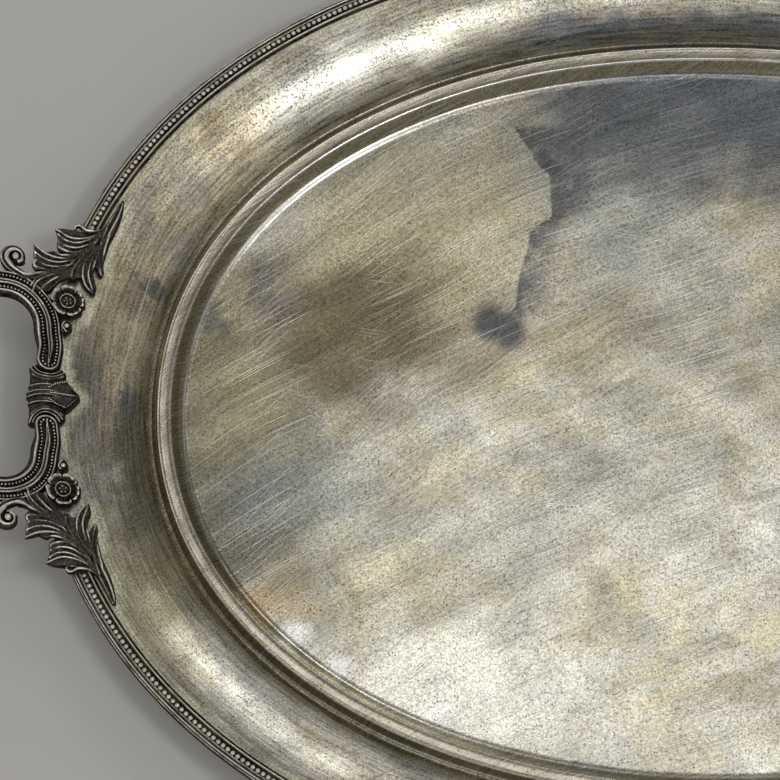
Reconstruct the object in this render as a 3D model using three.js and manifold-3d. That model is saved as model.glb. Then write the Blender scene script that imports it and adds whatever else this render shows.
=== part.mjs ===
// A large oval two-handled serving tray in silver plate.
// Millimetres, +Z up, long axis along X. The origin is the centre of the underside of the flat floor.
import * as THREE from 'three';
import { mergeVertices } from 'three/addons/utils/BufferGeometryUtils.js';
import Module from 'manifold-3d';

const wasm = await Module();
wasm.setup();

// ---------- driving dimensions ----------

// Plan of the raised ledge round the floor. Every other line of the tray runs parallel to it.
const LEDGE_HALF_LENGTH = 228;
const LEDGE_HALF_WIDTH = 162.4;
const LEDGE_SQUARENESS = 2.1; // 2 would be a true ellipse

const SHEET_THICKNESS = 1.2;
const FLOOR_EDGE = -9.4; // distances from the ledge line, outwards positive
const LEDGE_WIDTH = 4.8;
const LEDGE_HEIGHT = 6.7;
const CREASE_OFFSET = 3.7;
const CREASE_HEIGHT = 3.4;
const FLANGE_END = 39.7;
const FLANGE_END_HEIGHT = 19.3;
const SHEET_EDGE = 47.2;
const RIM_OFFSET = 48;
const BORDER_TOP = 21.9;
const BEAD_ROW_OFFSET = 43.85;
const SOLDER_GAP = 0.3;

const SECTIONS = 96; // stations round the tray
const BORDER_END_STATION = 4; // the moulding stops under the leaves, this many stations from each handle

// Handles. X is measured outwards from the tray's centre, Y along the rim from the handle's middle.
const ARM_X = 273;
const ARM_START_Y = 11.6;
const ARM_END_X = 300;
const ARM_SIDE_Y = 43.5;
const ARM_BEND = 16;
const ARM_WIDTH = 11.8;
const ARM_THICKNESS = 5.4;
const GRIP_X = 318;
const GRIP_WIDTH = 9.4;
const GRIP_HEIGHT = 8.2;
const COLLAR_X = 273.4;
const COLLAR_Z = 22.6;
const ROSETTE = { x: 264.6, y: 40.2, radius: 7.1 };
const LEAF_THICKNESS = 4;
const BURIED = 12; // height inside the flange, where castings are started before they are cut to the rim
const BELOW_TRAY = -10;
const BERRY = { x: 264.8, y: 29.8, radius: 2.1 };
const VOLUTE = { x: 285.4, y: 56.2, radius: 4.9 };
const HANDLE_RISE = [
  { x: 252, z: 21.4 },
  { x: 262, z: 24.6 },
  { x: 272, z: 29.3 },
  { x: 280, z: 34.4 },
  { x: 286, z: 37.2 },
  { x: 300, z: 42.4 },
  { x: 318, z: 47.3 },
]; // height of the handle's top face

// ---------- the tray's plan ----------

const OUTLINE_SAMPLES = 4800;

// Points of the ledge line with their outward normals, and the length run so far.
function traceLedge() {
  const trace = [];
  let length = 0;
  for (let i = 0; i <= OUTLINE_SAMPLES; i++) {
    const angle = (2 * Math.PI * i) / OUTLINE_SAMPLES;
    const c = Math.cos(angle);
    const s = Math.sin(angle);
    const power = LEDGE_SQUARENESS;
    const radius = (Math.abs(c / LEDGE_HALF_LENGTH) ** power + Math.abs(s / LEDGE_HALF_WIDTH) ** power) ** (-1 / power);
    const x = radius * c;
    const y = radius * s;
    const gx = (Math.sign(c) * Math.abs(x / LEDGE_HALF_LENGTH) ** (power - 1)) / LEDGE_HALF_LENGTH;
    const gy = (Math.sign(s) * Math.abs(y / LEDGE_HALF_WIDTH) ** (power - 1)) / LEDGE_HALF_WIDTH;
    const g = Math.hypot(gx, gy);
    if (i > 0) length += Math.hypot(x - trace[i - 1].x, y - trace[i - 1].y);
    trace.push({ x, y, nx: gx / g, ny: gy / g, length });
  }
  return trace;
}

const LEDGE_TRACE = traceLedge();

// Stations at equal steps along the ledge line; station 0 is the middle of the right-hand handle.
function layStations(count) {
  const total = LEDGE_TRACE[OUTLINE_SAMPLES].length;
  const stations = [];
  let i = 0;
  for (let k = 0; k < count; k++) {
    while (LEDGE_TRACE[i + 1].length < (total * k) / count) i++;
    const a = LEDGE_TRACE[i];
    const b = LEDGE_TRACE[i + 1];
    const t = ((total * k) / count - a.length) / (b.length - a.length);
    const nx = a.nx + (b.nx - a.nx) * t;
    const ny = a.ny + (b.ny - a.ny) * t;
    const n = Math.hypot(nx, ny);
    stations.push({ x: a.x + (b.x - a.x) * t, y: a.y + (b.y - a.y) * t, nx: nx / n, ny: ny / n });
  }
  return stations;
}

const STATIONS = layStations(SECTIONS);

function stationPoint(station, offset, z) {
  return new THREE.Vector3(station.x + station.nx * offset, station.y + station.ny * offset, z);
}

// ---------- solids from rings of points ----------

// Triangles that fill a flat ring of points, wound the same way round as the ring.
function capTriangles(ring) {
  const normal = new THREE.Vector3();
  ring.forEach((p, i) => {
    const q = ring[(i + 1) % ring.length];
    normal.x += (p.y - q.y) * (p.z + q.z);
    normal.y += (p.z - q.z) * (p.x + q.x);
    normal.z += (p.x - q.x) * (p.y + q.y);
  });
  normal.normalize();
  const side = Math.abs(normal.z) < 0.9 ? new THREE.Vector3(0, 0, 1) : new THREE.Vector3(1, 0, 0);
  const u = side.cross(normal).normalize();
  const v = normal.clone().cross(u);
  const flat = ring.map((p) => new THREE.Vector2(p.dot(u), p.dot(v)));
  return THREE.ShapeUtils.triangulateShape(flat, []).map(([a, b, c]) => {
    const turn = flat[b].clone().sub(flat[a]).cross(flat[c].clone().sub(flat[a]));
    return turn > 0 ? [a, b, c] : [a, c, b];
  });
}

function enclosedVolume(points, triangles) {
  let volume = 0;
  for (const [a, b, c] of triangles) volume += points[a].dot(points[b].clone().cross(points[c]));
  return volume / 6;
}

// A closed solid skinned over rings that all have the same number of points.
// A looped skin joins the last ring to the first; any other is capped at both ends.
function skin(rings, looped = false) {
  const count = rings[0].length;
  const points = rings.flat();
  const triangles = [];
  const bands = looped ? rings.length : rings.length - 1;
  for (let i = 0; i < bands; i++) {
    const near = i * count;
    const far = ((i + 1) % rings.length) * count;
    for (let j = 0; j < count; j++) {
      const k = (j + 1) % count;
      triangles.push([near + j, near + k, far + k]);
      triangles.push([near + j, far + k, far + j]);
    }
  }
  if (!looped) {
    const end = (rings.length - 1) * count;
    for (const [a, b, c] of capTriangles(rings[0])) triangles.push([a, c, b]);
    for (const [a, b, c] of capTriangles(rings[rings.length - 1])) triangles.push([end + a, end + b, end + c]);
  }
  const inwards = enclosedVolume(points, triangles) < 0;
  const faces = inwards ? triangles.map(([a, b, c]) => [a, c, b]) : triangles;
  return new wasm.Manifold(
    new wasm.Mesh({
      numProp: 3,
      vertProperties: Float32Array.from(points.flatMap((p) => [p.x, p.y, p.z])),
      triVerts: Uint32Array.from(faces.flat()),
    }),
  );
}

function unite(solids) {
  return solids.reduce((whole, solid) => whole.add(solid));
}

function toGeometry(solid) {
  const mesh = solid.getMesh();
  const geometry = new THREE.BufferGeometry();
  const positions = [];
  for (let i = 0; i < mesh.numVert; i++) {
    positions.push(...mesh.vertProperties.slice(i * mesh.numProp, i * mesh.numProp + 3));
  }
  geometry.setAttribute('position', new THREE.BufferAttribute(Float32Array.from(positions), 3));
  geometry.setIndex(Array.from(mesh.triVerts));
  const merged = mergeVertices(geometry, 1e-4);
  merged.computeVertexNormals();
  return merged;
}

// Sections of a profile of {w, z} points, offset from the ledge line, at each of the given stations.
function ovalSections(profile, stationNumbers) {
  return stationNumbers.map((k) => {
    const station = STATIONS[((k % SECTIONS) + SECTIONS) % SECTIONS];
    return profile.map(({ w, z }) => stationPoint(station, w, z));
  });
}

function range(from, to) {
  return Array.from({ length: to - from + 1 }, (_, i) => from + i);
}

// ---------- the sheet ----------

// Height of the flange's top face: steep above the crease, nearly flat at the rim.
const FLANGE_STEEPNESS = 1.55;

function flangeHeight(offset) {
  const t = (offset - CREASE_OFFSET) / (FLANGE_END - CREASE_OFFSET);
  const rise = FLANGE_STEEPNESS * t - (FLANGE_STEEPNESS - 1) * t * t;
  return CREASE_HEIGHT + (FLANGE_END_HEIGHT - CREASE_HEIGHT) * rise;
}

// The sheet's top face from the floor outwards.
function sheetTop() {
  const t = SHEET_THICKNESS;
  const floorCurve = [
    { w: FLOOR_EDGE, z: t },
    { w: FLOOR_EDGE + 1.5, z: t + 0.7 },
    { w: FLOOR_EDGE + 3.2, z: t + 3.2 },
    { w: -LEDGE_WIDTH, z: LEDGE_HEIGHT - 0.2 },
  ];
  const ledge = [
    { w: -0.8, z: LEDGE_HEIGHT },
    { w: 0.2, z: LEDGE_HEIGHT - 0.3 },
    { w: 1.8, z: LEDGE_HEIGHT - 2.2 },
  ];
  const flangeOffsets = [CREASE_OFFSET, 7, 12, 18, 25, 32, FLANGE_END, SHEET_EDGE];
  return [...floorCurve, ...ledge, ...flangeOffsets.map((w) => ({ w, z: flangeHeight(Math.min(w, FLANGE_END)) }))];
}

// The same line moved down, square to itself, by the thickness of the sheet.
function sheetUnderside(top) {
  return top.map((p, i) => {
    const before = top[Math.max(i - 1, 0)];
    const after = top[Math.min(i + 1, top.length - 1)];
    const run = i === 0 || i === top.length - 1 ? 1 : after.w - before.w;
    const rise = i === 0 || i === top.length - 1 ? 0 : after.z - before.z;
    const length = Math.hypot(run, rise);
    return {
      w: p.w + (SHEET_THICKNESS * rise) / length,
      z: Math.max(p.z - (SHEET_THICKNESS * run) / length, 0),
    };
  });
}

// One spun sheet: flat floor, raised ledge, crease and broad flange.
function traySheet() {
  const top = sheetTop();
  const section = [...top, ...sheetUnderside(top).reverse()];
  const stations = range(0, SECTIONS - 1);
  return skin(section.map(({ w, z }) => stations.map((k) => stationPoint(STATIONS[k], w, z))));
}

// ---------- the border ----------

// The moulding from its inner seam outwards: cove, reed, bead row, slope and twin reeds,
// then round the edge of the sheet and back under it.
function borderProfile() {
  const seat = FLANGE_END_HEIGHT + SOLDER_GAP;
  return [
    { w: FLANGE_END + 0.2, z: seat },
    { w: FLANGE_END + 1.2, z: seat + 0.7 },
    { w: FLANGE_END + 1.9, z: seat + 1.6 },
    { w: BEAD_ROW_OFFSET - 1.2, z: seat + 1.1 },
    { w: BEAD_ROW_OFFSET - 0.7, z: BORDER_TOP - 0.3 },
    { w: BEAD_ROW_OFFSET, z: BORDER_TOP },
    { w: BEAD_ROW_OFFSET + 0.7, z: BORDER_TOP - 0.3 },
    { w: BEAD_ROW_OFFSET + 1.3, z: seat + 1.2 },
    { w: RIM_OFFSET - 1.6, z: seat + 1.3 },
    { w: RIM_OFFSET - 0.3, z: seat + 0.9 },
    { w: RIM_OFFSET, z: seat },
    { w: RIM_OFFSET, z: seat - SHEET_THICKNESS - 0.9 },
    { w: RIM_OFFSET - 0.5, z: seat - SHEET_THICKNESS - 1.2 },
    { w: SHEET_EDGE + SOLDER_GAP, z: seat - SHEET_THICKNESS - 0.9 },
    { w: SHEET_EDGE + SOLDER_GAP, z: seat },
  ];
}

// Half of the border, from one pair of leaves to the other along the back of the tray.
function borderBack() {
  return skin(ovalSections(borderProfile(), range(BORDER_END_STATION, SECTIONS / 2 - BORDER_END_STATION)));
}

// Everything that the castings must keep clear of: the sheet and the moulding, with the solder gap.
function rimClearance() {
  const profile = [
    { w: 0, z: BELOW_TRAY },
    { w: 0, z: LEDGE_HEIGHT + 1 },
    { w: 7, z: flangeHeight(7) + 3 * SOLDER_GAP },
    ...[12, 18, 25, 32].map((w) => ({ w, z: flangeHeight(w) + SOLDER_GAP * 1.3 })),
    { w: FLANGE_END - 0.5, z: FLANGE_END_HEIGHT + SOLDER_GAP * 1.3 },
    { w: FLANGE_END + 0.6, z: FLANGE_END_HEIGHT + 1.4 },
    { w: FLANGE_END + 1.4, z: FLANGE_END_HEIGHT + 2.4 },
    { w: BEAD_ROW_OFFSET - 1, z: BORDER_TOP + SOLDER_GAP },
    { w: BEAD_ROW_OFFSET + 1, z: BORDER_TOP + SOLDER_GAP },
    { w: RIM_OFFSET - 1, z: FLANGE_END_HEIGHT + 2.1 },
    { w: RIM_OFFSET + SOLDER_GAP, z: FLANGE_END_HEIGHT + 1.4 },
    { w: RIM_OFFSET + SOLDER_GAP, z: BELOW_TRAY },
  ];
  const reach = SECTIONS / 8;
  return skin(ovalSections(profile, range(-reach, reach)));
}

// ---------- handle castings, modelled for the right-hand handle's back half ----------

// Height of the handle's top face: nearly level on the flange, then rising outwards so that fingers fit under the grip.
function handleTop(x) {
  const last = HANDLE_RISE.length - 1;
  const i = Math.max(1, HANDLE_RISE.findIndex((point) => point.x >= x));
  const from = HANDLE_RISE[x > HANDLE_RISE[last].x ? last : i - 1];
  const to = HANDLE_RISE[x > HANDLE_RISE[last].x ? last : i];
  const t = to.x > from.x ? Math.max(0, (x - from.x) / (to.x - from.x)) : 0;
  return from.z + (to.z - from.z) * t;
}

// Height of a leaf casting's underside: deep enough to meet the flange, then a thin blade once past the rim.
function leafUnderside(x) {
  const pastRim = Math.min(Math.max((x - 262) / 12, 0), 1);
  return BURIED + pastRim * (handleTop(x) - LEAF_THICKNESS - BURIED);
}

// A bar that follows a path of {x, y} points; section(t) gives its ring as {across, up} points.
function bar(path, section) {
  return skin(
    path.map((p, i) => {
      const before = path[Math.max(i - 1, 0)];
      const after = path[Math.min(i + 1, path.length - 1)];
      const dx = after.x - before.x;
      const dy = after.y - before.y;
      const length = Math.hypot(dx, dy);
      return section(i / (path.length - 1), p).map(({ across, up }) => {
        const x = p.x + (across * dy) / length;
        const y = p.y - (across * dx) / length;
        return new THREE.Vector3(x, y, up);
      });
    }),
  );
}

function arc(centreX, centreY, radius, from, to, steps) {
  return range(0, steps).map((i) => {
    const angle = from + ((to - from) * i) / steps;
    return { x: centreX + radius * Math.cos(angle), y: centreY + radius * Math.sin(angle) };
  });
}

function armPath() {
  const bend = arc(ARM_X + ARM_BEND, ARM_SIDE_Y - ARM_BEND, ARM_BEND, Math.PI, Math.PI / 2, 8);
  const straight = range(0, 3).map((i) => ({ x: ARM_X, y: ARM_START_Y + ((bend[0].y - 3 - ARM_START_Y) * i) / 3 }));
  return [...straight, ...bend, { x: ARM_END_X, y: ARM_SIDE_Y }];
}

// One scroll arm: a rounded bar, crowned along its middle, that leans with the rise of the handle.
function scrollArm(grow = 0) {
  const half = ARM_WIDTH / 2 + grow;
  return bar(armPath(), (t, p) => {
    const end = Math.min(1, 0.62 + t * 6);
    const ring = [
      { across: -1, drop: 1.4 },
      { across: -0.8, drop: 0.5 },
      { across: 0, drop: 0 },
      { across: 0.8, drop: 0.5 },
      { across: 1, drop: 1.4 },
      { across: 0.8, drop: ARM_THICKNESS },
      { across: -0.8, drop: ARM_THICKNESS },
    ];
    return ring.map(({ across, drop }) => {
      const up = handleTop(p.x) - drop + (drop > 2 ? -grow : grow);
      return { across: across * half * end, up };
    });
  });
}

// The grip: a bow with turned cuffs where it meets the arms and a swelling in the middle.
function grip() {
  const start = ARM_END_X + 0.8;
  const bend = ARM_SIDE_Y - 27.3;
  const back = arc(GRIP_X - bend, ARM_SIDE_Y - bend, bend, Math.PI / 2, 0, 8);
  const middle = range(1, 5).map((i) => ({ x: GRIP_X, y: (ARM_SIDE_Y - bend) * (1 - i / 6) }));
  const half = [{ x: start - 0.4, y: ARM_SIDE_Y }, ...back, ...middle];
  const path = [...half, { x: GRIP_X, y: 0 }, ...half.map(({ x, y }) => ({ x, y: -y })).reverse()];
  return bar(path, (t, p) => {
    const fromMiddle = Math.abs(t - 0.5) * 2;
    const cuff = fromMiddle > 0.9 ? 1.16 : 1;
    const swell = (0.92 + 0.2 * Math.max(0, 1 - fromMiddle / 0.45) ** 1.5) * cuff;
    const middleHeight = handleTop(p.x) - GRIP_HEIGHT / 2;
    return range(0, 9).map((i) => {
      const angle = (2 * Math.PI * i) / 10;
      const across = (GRIP_WIDTH / 2) * swell * Math.cos(angle);
      return { across, up: middleHeight + (GRIP_HEIGHT / 2) * swell * Math.sin(angle) };
    });
  });
}

// The ribbed barrel that joins the two arms over the rim.
function collar(grow = 0) {
  const half = [
    { y: 0, radius: 7.3 },
    { y: 2.6, radius: 8 },
    { y: 4.6, radius: 7.6 },
    { y: 6, radius: 6.4 },
    { y: 7.6, radius: 6 },
    { y: 8.8, radius: 6.9 },
    { y: 10.2, radius: 6.6 },
    { y: ARM_START_Y - SOLDER_GAP - 0.1, radius: 5.4 },
  ];
  const profile = [...half.slice(1).reverse().map(({ y, radius }) => ({ y: -y, radius })), ...half];
  return skin(
    profile.map(({ y, radius }) =>
      range(0, 15).map((i) => {
        const angle = (2 * Math.PI * i) / 16;
        const r = radius + grow;
        return new THREE.Vector3(COLLAR_X + r * Math.cos(angle), y, COLLAR_Z + r * Math.sin(angle));
      }),
    ),
  );
}

// The pointed tongue that runs from the collar onto the flange.
function collarLeaf() {
  const rootX = COLLAR_X - 8 - SOLDER_GAP;
  const tipX = 258.4;
  return skin(
    range(0, 4).map((i) => {
      const t = i / 4;
      const x = rootX + (tipX - rootX) * t;
      const half = 8 * (1 - t) ** 0.75 + 0.35;
      const crest = 25.6 - 2.4 * t;
      return [
        { y: -half, z: crest - 1.4 },
        { y: 0, z: crest },
        { y: half, z: crest - 1.4 },
        { y: half, z: BURIED },
        { y: -half, z: BURIED },
      ].map(({ y, z }) => new THREE.Vector3(x, y, z));
    }),
  );
}

// A five-petalled rosette with a raised centre, and the small berry below it.
function rosette(grow = 0) {
  const { x, y, radius } = ROSETTE;
  const around = 30;
  const ring = (size, z, lobed) =>
    range(0, around - 1).map((i) => {
      const angle = (2 * Math.PI * i) / around;
      const r = size * (lobed ? 0.93 + 0.07 * Math.abs(Math.cos(2.5 * angle)) : 1) + grow;
      return new THREE.Vector3(x + r * Math.cos(angle), y + r * Math.sin(angle), z + grow);
    });
  const top = handleTop(x) + 0.6;
  const flower = skin([
    ring(radius, BURIED, true),
    ring(radius, top - 1.4, true),
    ring(radius * 0.8, top, true),
    ring(radius * 0.45, top - 1, false),
    ring(radius * 0.35, top - 0.2, false),
    ring(radius * 0.12, top + 0.3, false),
  ]);
  const dome = (size, z) =>
    range(0, 11).map((i) => {
      const angle = (2 * Math.PI * i) / 12;
      const r = size * BERRY.radius + grow;
      return new THREE.Vector3(BERRY.x + r * Math.cos(angle), BERRY.y + r * Math.sin(angle), z + grow);
    });
  const berry = skin([dome(1, BURIED), dome(1, top - 2), dome(0.75, top - 1), dome(0.25, top - 0.6)]);
  const stem = bar(
    [
      { x: BERRY.x, y: BERRY.y },
      { x, y: y - radius * 0.7 },
    ],
    () => [
      { across: -1.2 - grow, up: BURIED },
      { across: 1.2 + grow, up: BURIED },
      { across: 1.2 + grow, up: top - 2.2 + grow },
      { across: -1.2 - grow, up: top - 2.2 + grow },
    ],
  );
  return unite([flower, berry, stem]);
}

// One lobe of a leaf: a tapering, crowned blade along a curve from root by bend to tip, each an [x, y] pair.
function lobe(root, bend, tip, halfWidth, lift = 0) {
  const curve = new THREE.QuadraticBezierCurve(...[root, bend, tip].map(([x, y]) => new THREE.Vector2(x, y)));
  const path = curve.getPoints(6).map(({ x, y }) => ({ x, y }));
  return bar(path, (t, p) => {
    const width = halfWidth * (0.7 + 0.9 * t) * Math.sqrt(Math.max(1 - t ** 3, 0)) + 0.3;
    const crest = handleTop(p.x) + lift;
    return [
      { across: -width, up: leafUnderside(p.x) },
      { across: width, up: leafUnderside(p.x) },
      { across: width, up: crest - 1.3 },
      { across: 0, up: crest },
      { across: -width, up: crest - 1.3 },
    ];
  });
}

// The acanthus spray: a stem along the rim with outer and inner lobes, and the volute at its outer end.
function acanthus() {
  const top = handleTop(VOLUTE.x);
  const volute = skin(
    [
      { z: top - LEAF_THICKNESS, radius: VOLUTE.radius },
      { z: top - 1.2, radius: VOLUTE.radius },
      { z: top, radius: VOLUTE.radius - 0.8 },
    ].map(({ z, radius }) =>
      range(0, 15).map((i) => {
        const angle = (2 * Math.PI * i) / 16;
        return new THREE.Vector3(VOLUTE.x + radius * Math.cos(angle), VOLUTE.y + radius * Math.sin(angle), z);
      }),
    ),
  );
  const spray = unite([
    lobe([269, 51], [259, 64], [243.4, 86.8], 3.2),
    lobe([258, 66], [258, 71], [261.4, 74.6], 1.9),
    lobe([258, 61], [264, 65], [270.2, 71.8], 2.9),
    lobe([262, 55], [271, 56], [279.2, 63.2], 3.1),
    lobe([254.5, 67], [250, 62], [251, 54], 1.9),
    lobe([259, 61], [252.5, 55], [254.6, 45.4], 2),
    lobe([266, 54], [275, 50], [283, 53.4], 1.9),
  ]);
  return unite([spray, volute]);
}

// ---------- materials ----------

function silver(name, color, roughness) {
  const material = new THREE.MeshStandardMaterial({ color, metalness: 1, roughness });
  material.name = name;
  return material;
}

const wornPlate = silver('worn_silver_plate', 0xb5aa90, 0.32);
const borderSilver = silver('border_silver', 0x9a8f7c, 0.3);
const castSilver = silver('oxidised_cast_silver', 0x7d7566, 0.34);

// ---------- assembly ----------

const tray = new THREE.Group();
tray.name = 'serving_tray';

function addPiece(name, solid, material) {
  const mesh = new THREE.Mesh(toGeometry(solid), material);
  mesh.name = name;
  tray.add(mesh);
}

// Reflects a solid across the tray's middle: sideX and sideY are 1 or -1.
function reflect(solid, sideX, sideY) {
  let result = solid;
  if (sideX < 0) result = result.mirror([1, 0, 0]);
  if (sideY < 0) result = result.mirror([0, 1, 0]);
  return result;
}

addPiece('tray_sheet', traySheet(), wornPlate);
addPiece('border_back', borderBack(), borderSilver);
addPiece('border_front', reflect(borderBack(), 1, -1), borderSilver);

const clearance = rimClearance();
const castings = {
  grip: grip(),
  collar: collar().subtract(clearance),
  collar_leaf: collarLeaf().subtract(clearance).subtract(collar(SOLDER_GAP)),
};
const pairedCastings = {
  scroll_arm: scrollArm().subtract(clearance),
  acanthus: acanthus().subtract(clearance).subtract(scrollArm(SOLDER_GAP)).subtract(rosette(SOLDER_GAP)),
  rosette: rosette().subtract(clearance).subtract(scrollArm(SOLDER_GAP)),
};

for (const [handle, sideX] of Object.entries({ left: -1, right: 1 })) {
  for (const [name, solid] of Object.entries(castings)) {
    addPiece(`${name}_${handle}`, reflect(solid, sideX, 1), castSilver);
  }
  for (const [name, solid] of Object.entries(pairedCastings)) {
    addPiece(`${name}_${handle}_back`, reflect(solid, sideX, 1), castSilver);
    addPiece(`${name}_${handle}_front`, reflect(solid, sideX, -1), castSilver);
  }
}

export default tray;
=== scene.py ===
"""The looks of a large oval serving tray in tarnished silver plate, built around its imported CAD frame.

Shapes are worked out in millimetres and become metres when a mesh is made. The handles are drawn once,
for the right-hand handle's back half: there X runs outwards from the tray's centre and Y along the rim
from the handle's middle. Each piece is then reflected to its own corner.
"""

import math

import bmesh
import bpy
import numpy as np
from mathutils import Euler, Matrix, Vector


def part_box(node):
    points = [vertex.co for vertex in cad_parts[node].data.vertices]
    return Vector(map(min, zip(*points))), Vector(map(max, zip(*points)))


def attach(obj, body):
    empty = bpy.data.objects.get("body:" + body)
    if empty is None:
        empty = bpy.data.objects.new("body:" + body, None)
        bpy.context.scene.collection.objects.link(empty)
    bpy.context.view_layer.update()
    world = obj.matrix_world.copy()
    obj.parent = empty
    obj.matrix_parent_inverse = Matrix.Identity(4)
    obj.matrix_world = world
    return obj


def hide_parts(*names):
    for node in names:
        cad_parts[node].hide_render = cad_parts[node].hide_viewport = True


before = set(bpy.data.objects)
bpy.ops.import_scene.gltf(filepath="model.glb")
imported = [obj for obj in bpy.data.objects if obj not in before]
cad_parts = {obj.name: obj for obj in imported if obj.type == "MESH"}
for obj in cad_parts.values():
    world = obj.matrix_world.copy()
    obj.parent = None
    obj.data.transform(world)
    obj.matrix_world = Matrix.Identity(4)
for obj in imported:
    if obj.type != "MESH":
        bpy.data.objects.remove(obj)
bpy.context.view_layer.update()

MM = 0.001


def cad_box(node):
    """Lowest and highest corner of a CAD node, in millimetres."""
    low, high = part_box(node)
    return np.array(low) / MM, np.array(high) / MM


# ---------------------------------------------------------------- sizes, in millimetres

SHEET_HIGH = cad_box("tray_sheet")[1]
BORDER_LOW = cad_box("border_back")[0]
ARM_LOW, ARM_HIGH = cad_box("scroll_arm_right_back")
ROSETTE_LOW, ROSETTE_HIGH = cad_box("rosette_right_back")
COLLAR_LOW, COLLAR_HIGH = cad_box("collar_right")
GRIP_HIGH = cad_box("grip_right")[1]

# The sheet. Offsets are measured outwards from the outer edge of the raised ledge.
SHEET_THICKNESS = 1.2
SHEET_EDGE = 47.2
RIM_EDGE = 48.0
LEDGE_HALF_LENGTH = SHEET_HIGH[0] - SHEET_EDGE
LEDGE_HALF_WIDTH = SHEET_HIGH[1] - SHEET_EDGE
SQUARENESS = 2.1
LEDGE_HEIGHT = 6.7
CREASE_OFFSET = 3.7
CREASE_HEIGHT = 3.4
FLANGE_END = 39.7
FLANGE_TOP = SHEET_HIGH[2]
SHEET_STATIONS = 960

# The border moulding.
BEAD_ROW = 43.6
BEAD_PITCH = 2.43
BEAD_RADII = (1.08, 1.13, 1.02)
BORDER_DEPTH = 2.1
BORDER_STATIONS = 760

# The handle castings.
ARM_HALF_WIDTH = 4.9
ARM_X = ARM_LOW[0] + 4.4
ARM_SIDE_Y = ARM_HIGH[1] - ARM_HALF_WIDTH
ARM_END_Y = 14.0
ARM_BEND = 17.0
ARM_BOW = 0.9
ARM_SLOPE = 1.3
ARM_THICKNESS = 5.4
ARM_BEAD_ROW = 2.5
ARM_BEAD_PITCH = 1.42
ARM_BEAD_RADII = (0.64, 0.64, 0.85)
GRIP_X = GRIP_HIGH[0] - 5.2
GRIP_BEND = 17.2


# ---------------------------------------------------------------- curves and lattices


def smooth(points, steps):
    """A Catmull-Rom curve through the points, with the given number of steps between neighbours."""
    p = np.asarray(points, float)
    p = np.vstack([2 * p[0] - p[1], p, 2 * p[-1] - p[-2]])
    t = np.linspace(0, 1, steps, endpoint=False)[:, None]
    curve = []
    for a, b, c, d in zip(p, p[1:], p[2:], p[3:]):
        bend = 2 * a - 5 * b + 4 * c - d
        twist = 3 * b - a - 3 * c + d
        curve.append(0.5 * (2 * b + (c - a) * t + bend * t**2 + twist * t**3))
    return np.vstack(curve + [p[-2:-1]])


def lattice(rows, columns):
    """The quads between rows of points, numbered row by row; each row closes on itself."""
    i, j = np.meshgrid(np.arange(rows - 1), np.arange(columns), indexing="ij")
    after = (j + 1) % columns
    corners = [i * columns + j, i * columns + after, (i + 1) * columns + after, (i + 1) * columns + j]
    return np.stack(corners, -1).reshape(-1, 4)


def directions(path):
    """Unit tangents of a path, and the unit normals to its right."""
    t = np.gradient(path, axis=0)
    t /= np.linalg.norm(t, axis=1)[:, None]
    return t, np.stack([t[:, 1], -t[:, 0]], -1)


def lengths_along(path):
    """The distance of each point from the path's start, along the path."""
    steps = np.linalg.norm(np.diff(path, axis=0), axis=1)
    return np.concatenate([[0], np.cumsum(steps)])


class Shells:
    """Closed shells gathered into one mesh, reflected to one corner of the tray."""

    def __init__(self, side_x=1, side_y=1):
        self.flip = np.array([side_x, side_y, 1.0])
        self.points, self.faces, self.count = [], [], 0

    def add(self, points, faces):
        """Adds a closed shell, turned so that its faces look outwards."""
        points = np.asarray(points, float).reshape(-1, 3) * self.flip
        centre = points.mean(0)
        quads = np.array([f for f in faces if len(f) == 4]).reshape(-1, 4)
        volume = 0.0
        for trio in (quads[:, [0, 1, 2]], quads[:, [0, 2, 3]]):
            a, b, c = (points[trio[:, k]] - centre for k in range(3))
            volume += np.einsum("ij,ij->i", a, np.cross(b, c)).sum()
        step = -1 if volume < 0 else 1
        self.faces += [(np.asarray(f)[::step] + self.count).tolist() for f in faces]
        self.points.append(points)
        self.count += len(points)

    def add_rings(self, rings):
        """A skin over rings of points, capped at its two ends."""
        rings = np.asarray(rings, float)
        rows, columns = rings.shape[:2]
        caps = [np.arange(columns)[::-1], (rows - 1) * columns + np.arange(columns)]
        self.add(rings, list(lattice(rows, columns)) + caps)

    def object(self, name, weld=0.0):
        """The gathered shells as a Blender object; points closer than weld are merged."""
        mesh = bpy.data.meshes.new(name)
        mesh.from_pydata((np.vstack(self.points) * MM).tolist(), [], self.faces)
        if weld:
            weld_mesh(mesh, weld * MM)
        mesh.shade_smooth()
        piece = bpy.data.objects.new(name, mesh)
        bpy.context.scene.collection.objects.link(piece)
        return piece


def places_of(mesh):
    """The mesh's points, in millimetres."""
    flat = np.empty(len(mesh.vertices) * 3, dtype=np.float32)
    mesh.vertices.foreach_get("co", flat)
    return flat.reshape(-1, 3).astype(float) / MM


def blur(grid, reach):
    """A box blur of a grid, run twice along each of its axes."""
    for axis in (0, 1, 0, 1):
        total = np.cumsum(grid, axis)
        width = 2 * reach + 1
        grid = (np.roll(total, -reach, axis) - np.roll(total, reach + 1, axis)) / width
    return grid


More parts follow.
